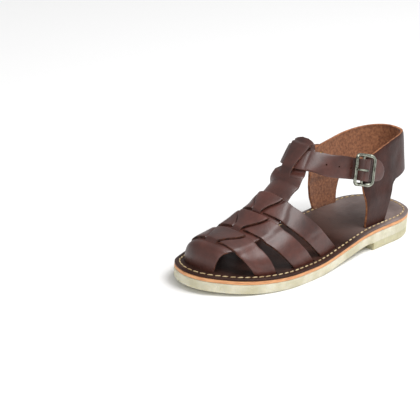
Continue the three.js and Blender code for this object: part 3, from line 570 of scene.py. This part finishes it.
def on_last(run, away):
    """A point of the last, away millimetres from its crown, to the outer side where positive."""
    points, lengths, _ = arch_at(max(0.0, run), 1 if away >= 0 else -1)
    far = min(abs(away), lengths[-1])
    k = min(len(lengths) - 1, max(1, bisect.bisect_left(lengths, far)))
    part = (far - lengths[k - 1]) / max(1e-9, lengths[k] - lengths[k - 1])
    spot = points[k - 1].lerp(points[k], part)
    spot.z -= max(0.0, -run) * LENGTH
    return lean(spot, ease((run - LEAN_RUN[0]) / (LEAN_RUN[1] - LEAN_RUN[0])))


def off_last(run, away, height):
    """The same point raised over the last."""
    here = max(0.0, run)
    reach = arch_at(here, 1 if away >= 0 else -1)[1][-1]
    along_run = on_last(min(1.0, here + 0.012), away) - on_last(max(0.0, here - 0.012), away)
    low, high = max(-reach, away - 1.5), min(reach, away + 1.5)
    along_away = on_last(here, high) - on_last(here, low)
    return on_last(run, away) + along_away.cross(along_run).normalized() * height


def edge_of(run, away):
    return STRIP_WIDTH * read(CENTRE, "run", "outer" if away >= 0 else "inner", run)


def slit_of(run):
    return STRIP_WIDTH * read(CENTRE, "run", "slit", run)


def pull_up(name, dark, light, gloss=1.0):
    """Oiled pull-up leather: waxy and glossy, its tone wandering in patches from dark to redder brown, with a
    fine hair-cell grain.
    """
    material, shader, place = finish_of(name)
    tone = mottle(material, place, 34, dark, light, 0.32, 0.68, 5.0)
    flecks = mottle(material, place, 5, "#9a8f8c", "#ffffff", 0.3, 0.75, 6.0)
    mixed = add(material, "ShaderNodeMix", {"Factor": 0.45}, data_type="RGBA", blend_type="MULTIPLY")
    link(material, tone, mixed.inputs["A"])
    link(material, flecks, mixed.inputs["B"])
    link(material, mixed.outputs["Result"], shader.inputs["Base Color"])
    handled = add(material, "ShaderNodeTexNoise", {"Vector": place, "Scale": 55.0, "Detail": 6.0})
    wear = {"Value": handled.outputs["Fac"], "To Min": 0.34, "To Max": 0.54}
    dull = add(material, "ShaderNodeMapRange", wear)
    link(material, dull.outputs["Result"], shader.inputs["Roughness"])
    shader.inputs["Specular IOR Level"].default_value = 0.5 * gloss
    shader.inputs["Coat Weight"].default_value = 0.3 * gloss
    shader.inputs["Coat Roughness"].default_value = 0.36
    grain = add(material, "ShaderNodeTexVoronoi", {"Vector": place, "Scale": 850.0})
    folds = add(material, "ShaderNodeTexNoise", {"Vector": place, "Scale": 120.0, "Detail": 4.0})
    roughen(material, shader, [(folds.outputs["Fac"], 0.35), (grain.outputs["Distance"], 0.07)])
    return material


def cut_edge(name, dark, light):
    """The cut edge of the leather: its fibre, stained or left tan, with a fine nap."""
    material, shader, place = finish_of(name)
    link(material, mottle(material, place, 4, dark, light), shader.inputs["Base Color"])
    shader.inputs["Roughness"].default_value = 0.75
    nap = add(material, "ShaderNodeTexNoise", {"Vector": place, "Scale": 1200.0, "Detail": 3.0})
    roughen(material, shader, [(nap.outputs["Fac"], 0.15)])
    return material


def suede():
    """The flesh side of the leather: matt, fibrous and warm brown."""
    material, shader, place = finish_of("flesh_side")
    tone = mottle(material, place, 2.2, "#6e412a", "#a36c49", 0.3, 0.7, 6.0)
    link(material, tone, shader.inputs["Base Color"])
    shader.inputs["Roughness"].default_value = 0.95
    shader.inputs["Sheen Weight"].default_value = 0.2
    nap = add(material, "ShaderNodeTexNoise", {"Vector": place, "Scale": 800.0, "Detail": 5.0})
    roughen(material, shader, [(nap.outputs["Fac"], 0.35)])
    return material


brown = pull_up("pull_up_leather", "#3a1f19", "#613329")
# The stained edge's dark tone is partly painted shade: it darkens the slits beside the bridges and the walls
# of the punched holes.
stained_edge_and_shade = cut_edge("stained_cut_edge_and_painted_shade", "#24130f", "#6b4030")
tan_cut = cut_edge("tan_cut_edge", "#7a452a", "#b97a50")
flesh = suede()


def leather(name, columns, rows, place, cutters=(), face=None, edge=None, soften=0.35):
    """A sheet of leather from its outer face: walled inwards, punched, and its cut edges eased."""
    made = grid(name, columns, rows, place)
    for finish in (face or brown, flesh, edge or stained_edge_and_shade):
        made.data.materials.append(finish)
    wall = made.modifiers.new("wall", "SOLIDIFY")
    wall.thickness = LEATHER * 0.001
    wall.offset = -1.0
    wall.material_offset = 1
    wall.material_offset_rim = 2
    bpy.ops.object.modifier_apply(modifier=wall.name)
    for cutter in cutters:
        punch = made.modifiers.new("punch", "BOOLEAN")
        punch.operation = "DIFFERENCE"
        punch.object = cutter
        punch.solver = "EXACT"
        bpy.ops.object.modifier_apply(modifier=punch.name)
    for cutter in cutters:
        bpy.data.objects.remove(cutter)
    eased = made.modifiers.new("eased", "BEVEL")
    eased.width = soften * 0.001
    eased.segments = 2
    eased.limit_method = "ANGLE"
    eased.angle_limit = math.radians(50)
    bpy.ops.object.modifier_apply(modifier=eased.name)
    bpy.ops.object.shade_smooth_by_angle(angle=math.radians(60))
    return made


def soft(seed, x, y, size, spread=14.0):
    """Slow unevenness of worked leather, in millimetres."""
    return size * noise.noise(Vector((x / spread, y / spread, seed)))


def strap_lift(run, away):
    """How far a cross strap stands over the strip under it; it dives where it enters the slit."""
    far = abs(away)
    over = 1 - ease((far - edge_of(run, away)) / 7)
    slit = far - slit_of(run)
    dive = 0.7 * math.exp(-((slit - 0.3) ** 2) / 1.6)
    return LEATHER * over * ease((slit + 0.3) / 3) - dive


STRAPS = {1: (0.17, 0.32), 2: (0.36, 0.5), 3: (0.53, 0.67)}
STRAP_CREASES = {
    1: [(4.0, 40.0, 18.0, 46.0, 2.4, 0.35), (2.0, -36.0, 16.0, -42.0, 2.4, 0.4)],
    2: [(6.0, 46.0, 18.0, 50.0, 2.6, 0.35), (8.0, 22.0, 16.0, 28.0, 3.0, 0.25)],
    3: [(2.0, 52.0, 18.0, 58.0, 2.8, 0.4), (6.0, -44.0, 17.0, -50.0, 2.8, 0.4)],
}


STRAP_BREADTH = 20.0
STRAP_CROWN = 0.3


def cross_strap(number):
    """A cross strap from foot to foot, a little crowned across its breadth."""
    front, rear = STRAPS[number]

    def place(u, v):
        run = front + (rear - front) * v
        inner = arch_at(run, -1)[2] + TUCK
        outer = arch_at(run, 1)[2] + TUCK
        away = -inner + (inner + outer) * u
        crown = STRAP_CROWN * (1 - (2 * v - 1) ** 4)
        height = LEATHER + strap_lift(run, away) - STRAP_CROWN + crown
        across = STRAP_BREADTH * v
        height += soft(number * 3.1, away, across, 0.5) - crease(STRAP_CREASES[number], across, away)
        return off_last(run, away, height)

    return leather(f"cross_strap_{number}", 150, 16, place)


BRIDGE_LEAD = 0.026


def bridge(number):
    """The part of the strip between two slits, which runs over a cross strap."""
    front, rear = STRAPS[number]
    lead = BRIDGE_LEAD

    def place(u, v):
        run = front - lead + (rear - front + 1.7 * lead) * v
        half = slit_of(min(rear, max(front, run)))
        up = ease((run - front + lead) / lead) * (1 - ease((run - rear) / (0.7 * lead)))
        height = LEATHER - 0.35 + (LEATHER + 1.1) * up + 0.2 * (1 - (2 * u - 1) ** 4)
        return off_last(run, half * (2 * u - 1), height)

    return leather(f"bridge_{number}", 14, 30, place)


CROSSING = {"from": 0.848, "low": 0.876, "high": 0.962, "to": 0.98}


def crossing(run, height):
    """A height that is reached where the strip goes over and under the ankle strap."""
    up = ease((run - CROSSING["from"]) / (CROSSING["low"] - CROSSING["from"]))
    down = 1 - ease((run - CROSSING["high"]) / (CROSSING["to"] - CROSSING["high"]))
    return height * up * down


TAB_ROUND = edge_of(1.0, 1.0) * 1.04


def tab_width(run):
    """Half width of the strip, rounded off at the tab's end."""
    to_end = (on_last(1.0, 0.0) - on_last(min(1.0, run), 0.0)).length
    part = max(0.0, 1 - to_end / TAB_ROUND)
    return math.sqrt(max(0.05, 1 - part * part))


def toe_and_strip():
    """The toe piece, and the strip as far as the ankle strap."""
    first = -TUCK / LENGTH

    def place(u, v):
        run = first + (CROSSING["from"] + 0.004 - first) * v
        at = max(0.0, run)
        away = -edge_of(at, -1) + (edge_of(at, 1) + edge_of(at, -1)) * u
        height = LEATHER + soft(9.3, away, run * 190, 0.5) * min(1.0, run * 10 + 0.1)
        return off_last(run, away, height)

    return leather("toe_and_strip", 26, 150, place)


MARGIN_UNDER = 2.0
MARGIN_LEAST = 1.0


def crossing_part(name, side, lift):
    """The strip at the ankle strap: its middle goes over the strap and a margin on each side under."""
    first, last = CROSSING["from"] - 0.006, 1.0

    def place(u, v):
        run = first + (last - first) * v
        width = tab_width(run)
        split = crossing(run, 1.0)
        slit = slit_of(run)
        if side == 0:
            away = slit * (2 * u - 1) * min(1.0, width * 1.6)
        else:
            near, far = slit - MARGIN_UNDER * split, edge_of(run, side) * width
            near = min(near, far - MARGIN_LEAST)
            away = side * (near + (far - near) * (u if side > 0 else 1 - u))
        return off_last(run, away, LEATHER + crossing(run, lift))

    return leather(name, 10 if side == 0 else 6, 56, place, soften=0.25)


def whole_tab():
    first = CROSSING["to"] - 0.004

    def place(u, v):
        run = first + (1.0 - first) * v
        away = edge_of(run, 1) * tab_width(run) * (2 * u - 1)
        return off_last(run, away, LEATHER + 0.02)

    return leather("tab", 16, 10, place, soften=0.25)


def together(name, parts):
    bpy.ops.object.select_all(action="DESELECT")
    for part in parts:
        part.select_set(True)
    bpy.context.view_layer.objects.active = parts[0]
    bpy.ops.object.join()
    parts[0].name = name
    return parts[0]


SLOT_SPARE = 1.6
SLOT_ABOVE = 1.0
SLOT_DEEP = 2.4


def foot_slot(place):
    """Cuts the slot that a foot goes down through into the insole, a little wider than its leather."""
    tool = grid("slot_tool", 24, 2, place)
    wall = tool.modifiers.new("wall", "SOLIDIFY")
    wall.thickness = (LEATHER + SLOT_SPARE) * 0.001
    wall.offset = 0.0
    bpy.ops.object.modifier_apply(modifier=wall.name)
    bpy.ops.object.select_all(action="DESELECT")
    insole.select_set(True)
    bpy.context.view_layer.objects.active = insole
    slot = insole.modifiers.new("slot", "BOOLEAN")
    slot.operation = "DIFFERENCE"
    slot.object = tool
    slot.solver = "EXACT"
    bpy.ops.object.modifier_apply(modifier=slot.name)
    bpy.ops.object.shade_smooth_by_angle(angle=math.radians(40))
    bpy.data.objects.remove(tool)


def strap_slot(number, side):
    front, rear = STRAPS[number]
    spare = 0.5 * SLOT_SPARE / LENGTH

    def place(u, v):
        run = front - spare + (rear - front + 2 * spare) * u
        to_foot = arch_at(run, side)[2]
        spot = off_last(run, side * to_foot, LEATHER / 2)
        spot.z = insole_top(spot.y) + SLOT_ABOVE - SLOT_DEEP * v
        return spot

    foot_slot(place)


for number in STRAPS:
    strap = cross_strap(number)
    in_shoe(strap, "upper")
    strap_slot(number, 1)
    strap_slot(number, -1)
strip = together(
    "woven_strip",
    [
        toe_and_strip(),
        *[bridge(number) for number in STRAPS],
        crossing_part("over_strap", 0, LEATHER + 0.6),
        crossing_part("outer_margin", 1, -LEATHER - 0.3),
        crossing_part("inner_margin", -1, -LEATHER - 0.3),
        whole_tab(),
    ],
)
in_shoe(strip, "upper")

# The heel quarter is one piece: a band round the heel that stands on two legs. The legs go through
# the insole, and the outer front end is folded round the buckle's bar.
LOOP_REAR = 0.005
LOOP_POWER = 2.2
LOOP_MIDDLE = y_at((LOOP_FRONT + LOOP_REAR) / 2)
LOOP_HALF = (LOOP_FRONT - LOOP_REAR) / 2 * LENGTH
BAND = table(
    "back outer_top outer_low inner_top inner_low",
    (0.35, 0.925, 0.745, 0.86, 0.68),
    (0.46, 0.935, 0.68, 0.865, 0.66),
    (0.6, 0.98, 0.65, 0.9, 0.62),
    (0.74, 1.01, 0.625, 0.945, 0.61),
    (0.88, 1.015, 0.635, 0.975, 0.625),
    (1.0, 0.995, 0.645, 0.995, 0.645),
)
LEG = table(
    "up outer_front inner_front rear outer_wide inner_wide",
    (0.0, 0.291, 0.296, 0.186, 0.95, 1.0),
    (0.3, 0.298, 0.312, 0.175, 0.99, 1.08),
    (0.5, 0.308, 0.319, 0.166, 1.01, 1.08),
    (0.62, 0.316, 0.321, 0.153, 1.0, 1.03),
    (0.72, 0.32, 0.32, 0.12, 1.0, 1.0),
    (1.0, 0.32, 0.32, 0.11, 1.0, 1.0),
)


def signed_power(value, power):
    return math.copysign(abs(value) ** power, value)


def on_loop(turn, height, off, wide=1.0):
    """A point of the oval that the ankle strap and the quarter follow; turn 0 is its front."""
    half_x = wide * LOOP_WIDTH / 2
    x = signed_power(math.sin(turn), 2 / LOOP_POWER)
    y = -signed_power(math.cos(turn), 2 / LOOP_POWER)
    level = Vector((signed_power(x, LOOP_POWER - 1) / half_x, signed_power(y, LOOP_POWER - 1) / LOOP_HALF))
    level.normalize()
    foot = Vector((half_x * x, LOOP_MIDDLE + LOOP_HALF * y, height))
    slope = lean(foot + Vector((0.0, 0.0, 1.0))) - lean(foot)
    out = Vector((level.x, level.y, -level.x * slope.x - level.y * slope.y)).normalized()
    return lean(foot) + out * off


def turn_at(y):
    value = (y - LOOP_MIDDLE) / LOOP_HALF
    return math.acos(-signed_power(value, LOOP_POWER / 2))


def back_of(turn):
    return (1 + signed_power(-math.cos(turn), 2 / LOOP_POWER)) / 2


def band(turn, side, edge):
    return ANKLE * read(BAND, "back", side + edge, back_of(turn))


def lowest(y, turn, side):
    """Lowest height of the quarter at a place: the foot of a leg, its cut edge, or the band's edge."""
    low, middle = band(turn, side, "_low"), (band(turn, side, "_low") + band(turn, side, "_top")) / 2
    share, floor_height = share_at(y), insole_top(y)
    rear, front = read(LEG, "up", "rear", 0.0), read(LEG, "up", side + "_front", 0.0)
    if rear <= share <= front:
        return floor_height - TUCK
    column, sign = ("rear", -1) if share < rear else (side + "_front", 1)
    for k in range(1, 73):
        if sign * read(LEG, "up", column, k / 100) >= sign * share:
            return min(low, floor_height + (middle - floor_height) * k / 100)
    return low


QUARTER_FRONT = y_at(BUCKLE_AT)
QUARTER_CREASES = [
    (62.0, 60.0, 92.0, 55.0, 5.0, 0.6),
    (96.0, 70.0, 112.0, 78.0, 6.0, 0.5),
    (64.0, 40.0, 84.0, 38.0, 5.0, 0.4),
]
lows = {}


def quarter_place(u, v):
    front = turn_at(QUARTER_FRONT)
    turn = front + 2 * (math.pi - front) * u
    side = "outer" if turn <= math.pi else "inner"
    y = min(y_at(LOOP_REAR) - 1e-6, LOOP_MIDDLE - LOOP_HALF * signed_power(math.cos(turn), 2 / LOOP_POWER))
    if u not in lows:
        lows[u] = lowest(y, turn, side)
    low, top = lows[u], band(turn, side, "_top")
    height = low + (top - low) * v
    middle = (band(turn, side, "_low") + top) / 2
    up = (height - insole_top(y)) / (middle - insole_top(y))
    wide = read(LEG, "up", side + "_wide", min(1.0, max(0.0, up)))
    rolled = 0.3 * math.sin(math.pi * v) - 0.4 * ease((v - 0.93) / 0.07)
    off = LEATHER + rolled + soft(5.5, y, height, 0.7, 22.0)
    if side == "outer":
        off -= crease(QUARTER_CREASES, y, height)
    return on_loop(turn, height, off, wide)


# The quarter's tones are darker than the straps' as painted shade on its upright sides; its lower gloss is
# its own.
shaded_quarter_leather = pull_up("unwaxed_quarter_leather_painted_shade", "#301a15", "#4c2a23", gloss=0.3)
quarter = leather("heel_quarter_leather", 420, 34, quarter_place, face=shaded_quarter_leather, edge=tan_cut, soften=0.25)
STRAP_PATH = table(
    "back outer inner",
    (0.0, 0.965, 0.965),
    (0.04, 0.963, 0.96),
    (0.09, 0.95, 0.94),
    (0.155, 0.92, 0.905),
    (0.235, 0.892, 0.865),
    (0.375, 0.83, 0.8),
    (0.6, 0.765, 0.745),
)


def strap_height(turn):
    """Mid height of the ankle strap."""
    return ANKLE * read(STRAP_PATH, "back", "outer" if turn >= 0 else "inner", back_of(abs(turn)))


def strap_spot(y):
    """The strap's middle on the outer side at y."""
    return on_loop(turn_at(y), strap_height(turn_at(y)), 0.0)


bar_foot = strap_spot(QUARTER_FRONT)
outward = on_loop(turn_at(QUARTER_FRONT), bar_foot.z, 1.0) - bar_foot
rearward = strap_spot(QUARTER_FRONT + 5) - strap_spot(QUARTER_FRONT - 5)
rearward = (rearward - outward * rearward.dot(outward)).normalized()
upward = outward.cross(rearward)


def at_buckle(along, up, off):
    """A point by the buckle: along the strap to the rear, up across it, and off the foot."""
    return bar_foot + rearward * along + upward * up + outward * off


def rod(name, start, end, radius, finish, sides=28):
    """A round rod between two points, with eased ends."""
    start, end = in_frame(start), in_frame(end)
    bpy.ops.object.select_all(action="DESELECT")
    bpy.ops.mesh.primitive_cylinder_add(vertices=sides, radius=radius * 0.001, depth=(end - start).length)
    made = bpy.context.object
    made.name = name
    turned = (end - start).to_track_quat("Z", "Y").to_matrix().to_4x4()
    made.data.transform(Matrix.Translation((start + end) / 2) @ turned)
    eased = made.modifiers.new("eased", "BEVEL")
    eased.width = min(radius * 0.0002, (end - start).length * 0.3)
    eased.segments = 2
    eased.limit_method = "ANGLE"
    bpy.ops.object.modifier_apply(modifier=eased.name)
    bpy.ops.object.shade_smooth_by_angle(angle=math.radians(50))
    made.data.materials.append(finish)
    return made


def leg_slot(side, half):
    """The slot of the quarter's leg on one side; half is 1 on the outer side and -1 on the inner."""
    rear, front = (read(LEG, "up", name, 0.0) for name in ("rear", side + "_front"))
    spare = 0.5 * SLOT_SPARE / LENGTH

    def place(u, v):
        y = y_at(rear - spare + (front - rear + 2 * spare) * u)
        wide = read(LEG, "up", side + "_wide", 0.0)
        return on_loop(half * turn_at(y), insole_top(y) + SLOT_ABOVE - SLOT_DEEP * v, LEATHER / 2, wide)

    foot_slot(place)


leg_slot("outer", 1)
leg_slot("inner", -1)

# The quarter's front end is doubled back round the buckle's bar.
BAR_OFF = 3.8
FOLD_RADIUS = 3.0
FOLD_HALF = 7.7
fold = rod("fold", at_buckle(0, -FOLD_HALF, BAR_OFF), at_buckle(0, FOLD_HALF, BAR_OFF), FOLD_RADIUS, brown)
quarter = together("heel_quarter_leather", [quarter, fold])
in_shoe(quarter, "heel_quarter")

# The ankle strap is 20 mm wide. It goes through the strip's top slits, under the buckle's front bar,
# over the fold and under the rear bar, and its rounded inner end is riveted to the quarter.
STRAP_WIDTH = 20.0
STRAP_END = 0.218
FIRST_HOLE = 12.0
HOLE_PITCH = 11.16
HOLE_RADIUS = 1.3
FIT = 0.3
OVER_BAR = BAR_OFF + FOLD_RADIUS + FIT
ON_QUARTER = LEATHER + FIT
STEP_BEFORE = 9.0
STEP_LENGTH = 7.0
OVER_HALF = 7.5
OVER_LENGTH = 5.0


def strap_off(foot):
    """How far the strap's inner face stands off the loop."""
    if foot.x < 0:
        return ON_QUARTER * ease((foot.y - QUARTER_FRONT + STEP_BEFORE) / STEP_LENGTH)
    past = (foot - bar_foot).dot(rearward)
    behind = ON_QUARTER * ease(past / 2)
    return behind + (OVER_BAR - behind) * ease((OVER_HALF - abs(past)) / OVER_LENGTH)


ANKLE_CROWN = 0.35
ANKLE_CREASES = [
    (22.0, -9.0, 26.0, 9.0, 2.2, 0.3),
    (-30.0, -8.0, -26.0, 8.0, 2.2, 0.3),
]


def strap_place(u, v):
    tail = turn_at(y_at(STRAP_END))
    turn = tail - 2 * tail * u
    from_end = min(u, 1 - u) * 2 * tail * LOOP_HALF
    part = max(0.0, 1 - from_end / (STRAP_WIDTH / 2))
    taper = math.sqrt(max(0.04, 1 - part * part))
    half = STRAP_WIDTH * (0.5 - v) * taper
    middle = strap_height(turn)
    height = middle - half / (on_loop(turn, middle + 1, 0.0) - on_loop(turn, middle, 0.0)).length
    crown = ANKLE_CROWN * (1 - (2 * v - 1) ** 4) - ANKLE_CROWN
    off = strap_off(on_loop(turn, height, 0.0)) + LEATHER + crown
    off += soft(7.7, turn * LOOP_HALF, half, 0.4) - crease(ANKLE_CREASES, turn * LOOP_HALF, half)
    return on_loop(turn, height, off)


def punch(inside, outside):
    """A tapered punch, so that a hole is 2.6 mm wide on the outer face and closes up inwards."""
    tool = rod("hole", inside, outside, HOLE_RADIUS, stained_edge_and_shade, 18)
    middle, along = (in_frame(inside) + in_frame(outside)) / 2, in_frame(outside) - in_frame(inside)
    for vertex in tool.data.vertices:
        from_middle = vertex.co - middle
        on_axis = along * (from_middle.dot(along) / along.length_squared)
        if on_axis.dot(along) < 0:
            vertex.co = middle + on_axis + (from_middle - on_axis) * 0.25
    return tool


cutters = []
for k in range(3):
    turn = turn_at(QUARTER_FRONT - FIRST_HOLE - k * HOLE_PITCH)
    face_off = strap_off(on_loop(turn, strap_height(turn), 0.0)) + LEATHER
    cutters.append(
        punch(
            on_loop(turn, strap_height(turn), face_off - LEATHER - 0.6),
            on_loop(turn, strap_height(turn), face_off + LEATHER - 0.6),
        )
    )
cutters.append(rod("hole", at_buckle(0, 0, 5), at_buckle(0, 0, 14), HOLE_RADIUS, stained_edge_and_shade, 18))
ankle_strap = leather("ankle_strap_leather", 230, 14, lambda u, v: strap_place(1 - u, v), cutters, soften=0.3)
in_shoe(ankle_strap, "ankle_strap")

# The buckle is cast and nickel plated, a rounded rectangle bowed over the strap with a bar through its
# middle. Age has dulled it in small darker patches.
BUCKLE_HEIGHT = 29.0
BUCKLE_WIDTH = 24.0
BUCKLE_CORNER = 3.6
BUCKLE_WIRE = 1.6
FRONT_BOW = 1.6
REAR_BOW = 3.6
BAR_RADIUS = 1.2
half_across = BUCKLE_WIDTH / 2 - BUCKLE_WIRE
half_tall = BUCKLE_HEIGHT / 2 - BUCKLE_WIRE


def bow(along):
    """How far the buckle's wire stands off the loop, as it bows over the strap."""
    return BAR_OFF + (FRONT_BOW if along < 0 else REAR_BOW) * (along / half_across) ** 2


def frame_spot(angle):
    """The buckle frame's middle line: a rectangle with rounded corners."""
    flat = Vector((math.cos(angle), math.sin(angle)))
    box_x, box_y = half_across - BUCKLE_CORNER, half_tall - BUCKLE_CORNER
    low, high = 0.0, half_across + half_tall
    for _ in range(40):
        reach = (low + high) / 2
        dx = max(0.0, abs(flat.x) * reach - box_x)
        dy = max(0.0, abs(flat.y) * reach - box_y)
        if math.hypot(dx, dy) < BUCKLE_CORNER:
            low = reach
        else:
            high = reach
    return flat * low


bpy.ops.object.select_all(action="DESELECT")
bpy.ops.mesh.primitive_torus_add(major_segments=96, minor_segments=14, major_radius=10.0, minor_radius=1.0)
buckle_frame = bpy.context.object
for vertex in buckle_frame.data.vertices:
    angle = math.atan2(vertex.co.y, vertex.co.x)
    spot = frame_spot(angle)
    ahead = (frame_spot(angle + 0.02) - frame_spot(angle - 0.02)).normalized()
    side = Vector((ahead.y, -ahead.x)) * (math.hypot(vertex.co.x, vertex.co.y) - 10.0)
    flat = spot + side * BUCKLE_WIRE
    off = bow(spot.x) + vertex.co.z * BUCKLE_WIRE * (0.85 if vertex.co.z > 0 else 1.0)
    vertex.co = in_frame(at_buckle(flat.x, flat.y, off))
nickel, nickel_shader, nickel_place = finish_of("aged_nickel")
patina = mottle(nickel, nickel_place, 4, "#5a5d53", "#a9ad9f", 0.3, 0.6)
link(nickel, patina, nickel_shader.inputs["Base Color"])
nickel_shader.inputs["Metallic"].default_value = 1.0
tarnish = add(nickel, "ShaderNodeTexNoise", {"Vector": nickel_place, "Scale": 400.0, "Detail": 5.0})
dull = add(nickel, "ShaderNodeMapRange", {"Value": tarnish.outputs["Fac"], "To Min": 0.2, "To Max": 0.45})
link(nickel, dull.outputs["Result"], nickel_shader.inputs["Roughness"])
roughen(nickel, nickel_shader, [(tarnish.outputs["Fac"], 0.12)])
buckle_frame.data.materials.append(nickel)
bpy.ops.object.shade_smooth()
bar = rod("bar", at_buckle(0, -half_tall, BAR_OFF), at_buckle(0, half_tall, BAR_OFF), BAR_RADIUS, nickel)
buckle = together("buckle_metal", [buckle_frame, bar])
in_shoe(buckle, "buckle")

# The prong is a bent wire that comes up through the strap's hole and lies on the front bar.
PRONG_RADIUS = 0.9
PRONG_BEND = 3.4
top = OVER_BAR + LEATHER + FIT + PRONG_RADIUS
rest = bow(-half_across) + BUCKLE_WIRE + FIT + PRONG_RADIUS
route = [
    (0.0, OVER_BAR, 1.0),
    (0.0, top - 1.0, 1.0),
    (-0.5, top - 0.15, 1.0),
    (-1.4, top, 1.0),
    (-PRONG_BEND, top - 0.05, 1.0),
    (-half_across + 1.0, rest + 0.3, 0.95),
    (-half_across - BUCKLE_WIRE, rest, 0.8),
]
bent = bpy.data.curves.new("prong_wire", "CURVE")
bent.dimensions = "3D"
bent.bevel_depth = PRONG_RADIUS * 0.001
bent.bevel_resolution = 5
bent.use_fill_caps = True
line = bent.splines.new("POLY")
line.points.add(len(route) - 1)
for point, (along, off, thick) in zip(line.points, route):
    point.co = (*in_frame(at_buckle(along, 0, off)), 1.0)
    point.radius = thick
prong = bpy.data.objects.new("prong_metal", bent)
bpy.context.collection.objects.link(prong)
bpy.ops.object.select_all(action="DESELECT")
prong.select_set(True)
bpy.context.view_layer.objects.active = prong
bpy.ops.object.convert(target="MESH")
prong.data.materials.append(nickel)
bpy.ops.object.shade_smooth_by_angle(angle=math.radians(50))
in_shoe(prong, "buckle_prong")

# Two brass rivets: a domed one holds the strap's inner end to the quarter, and a flat one behind the
# buckle holds the quarter's fold.
RIVET_AT = 0.264
RIVET_HEAD = 4.0
SHANK_RADIUS = 1.5
WASHER_RADIUS = 3.2
brass, brass_shader, brass_place = finish_of("dull_brass")
link(brass, mottle(brass, brass_place, 3, "#6f5526", "#b8904a", 0.3, 0.6), brass_shader.inputs["Base Color"])
brass_shader.inputs["Metallic"].default_value = 1.0
scratch = add(brass, "ShaderNodeTexNoise", {"Vector": brass_place, "Scale": 700.0, "Detail": 4.0})
dull = add(brass, "ShaderNodeMapRange", {"Value": scratch.outputs["Fac"], "To Min": 0.22, "To Max": 0.45})
link(brass, dull.outputs["Result"], brass_shader.inputs["Roughness"])
roughen(brass, brass_shader, [(scratch.outputs["Fac"], 0.1)])


def rivet(name, turn, top_off, dome):
    """A rivet through the leather at a place of the loop, its head outside and its washer inside."""
    height = strap_height(turn)

    def at(off):
        return on_loop(turn, height, off)

    shank = rod("shank", at(-0.4), at(top_off), SHANK_RADIUS, brass)
    parts = [shank, rod("washer", at(-1.1), at(-0.3), WASHER_RADIUS, brass)]
    if dome:
        bpy.ops.object.select_all(action="DESELECT")
        bpy.ops.mesh.primitive_uv_sphere_add(segments=36, ring_count=20, radius=0.001)
        head = bpy.context.object
        out = (in_frame(at(1)) - in_frame(at(0))).normalized().to_track_quat("Z", "Y").to_matrix().to_4x4()
        shape = Matrix.Diagonal((RIVET_HEAD, RIVET_HEAD, dome, 1.0))
        head.data.transform(Matrix.Translation(in_frame(at(top_off))) @ out @ shape)
        head.data.materials.append(brass)
        bpy.ops.object.shade_smooth()
        parts.append(head)
    return together(name, parts)


strap_rivet = rivet("strap_rivet_brass", -turn_at(y_at(RIVET_AT)), 5.0, 1.7)
in_shoe(strap_rivet, "strap_rivet")
buckle_rivet = rivet("buckle_rivet_brass", turn_at(QUARTER_FRONT + BUCKLE_WIDTH / 2 + FIT), 1.9, 0)
in_shoe(buckle_rivet, "buckle_rivet")

# The studio: a plain pale floor, a wide soft light high up behind the outer side, whose reflection
# lies on the crowns of the straps, a softer one in front, and the camera of the photograph.
bpy.ops.object.select_all(action="DESELECT")
bpy.ops.mesh.primitive_plane_add(size=12.0)
floor = bpy.context.object
floor.name = "floor"
pale, pale_shader, _ = finish_of("pale_paper")
pale_shader.inputs["Base Color"].default_value = paint("#fbfbfb")
pale_shader.inputs["Roughness"].default_value = 0.9
floor.data.materials.append(pale)

world = bpy.data.worlds.new("studio")
world.use_nodes = True
sky = world.node_tree.nodes["Background"]
sky.inputs["Color"].default_value = (1.0, 1.0, 1.0, 1.0)
sky.inputs["Strength"].default_value = 0.42
bpy.context.scene.world = world


def soft_light(name, place, target, size, power):
    lamp = bpy.data.lights.new(name, "AREA")
    lamp.shape = "DISK"
    lamp.size = size
    lamp.energy = power
    held = bpy.data.objects.new(name, lamp)
    held.location = place
    held.rotation_euler = (Vector(target) - Vector(place)).to_track_quat("-Z", "Y").to_euler()
    bpy.context.collection.objects.link(held)


soft_light("high_side", (0.95, 0.45, 2.05), (0.0, 0.0, 0.03), 1.8, 52.0)
soft_light("front", (0.9, -1.9, 1.2), (0.0, 0.0, 0.04), 1.4, 9.0)

AZIMUTH, ELEVATION, ROLL = map(math.radians, (37.859, 20.171, 5.319))
DISTANCE = 1705.621
FOCAL_PIXELS = 1949.564
PICTURE = 420
AIMED_AT = (300.644, 212.347)
back = Vector(
    (math.sin(AZIMUTH) * math.cos(ELEVATION), -math.cos(AZIMUTH) * math.cos(ELEVATION), math.sin(ELEVATION))
)
right = (-back).cross(Vector((0, 0, 1))).normalized()
above = right.cross(-back)
rolled_right = right * math.cos(ROLL) + above * math.sin(ROLL)
rolled_up = above * math.cos(ROLL) - right * math.sin(ROLL)
sight = -back + rolled_right * ((PICTURE / 2 - AIMED_AT[0]) / FOCAL_PIXELS)
sight = (sight - rolled_up * ((PICTURE / 2 - AIMED_AT[1]) / FOCAL_PIXELS)).normalized()
camera_right = (rolled_right - sight * rolled_right.dot(sight)).normalized()
camera_up = camera_right.cross(sight)
lens = bpy.data.cameras.new("photograph")
lens.sensor_width = 36.0
lens.lens = FOCAL_PIXELS / PICTURE * lens.sensor_width
lens.clip_start, lens.clip_end = 0.01, 50.0
camera = bpy.data.objects.new("photograph", lens)
turned = Matrix((camera_right, camera_up, -sight)).transposed().to_4x4()
camera.matrix_world = Matrix.Translation(in_frame(Vector((0, 0, 40)) + back * DISTANCE)) @ turned
bpy.context.collection.objects.link(camera)
bpy.context.scene.camera = camera
bpy.context.scene.view_settings.view_transform = "Standard"
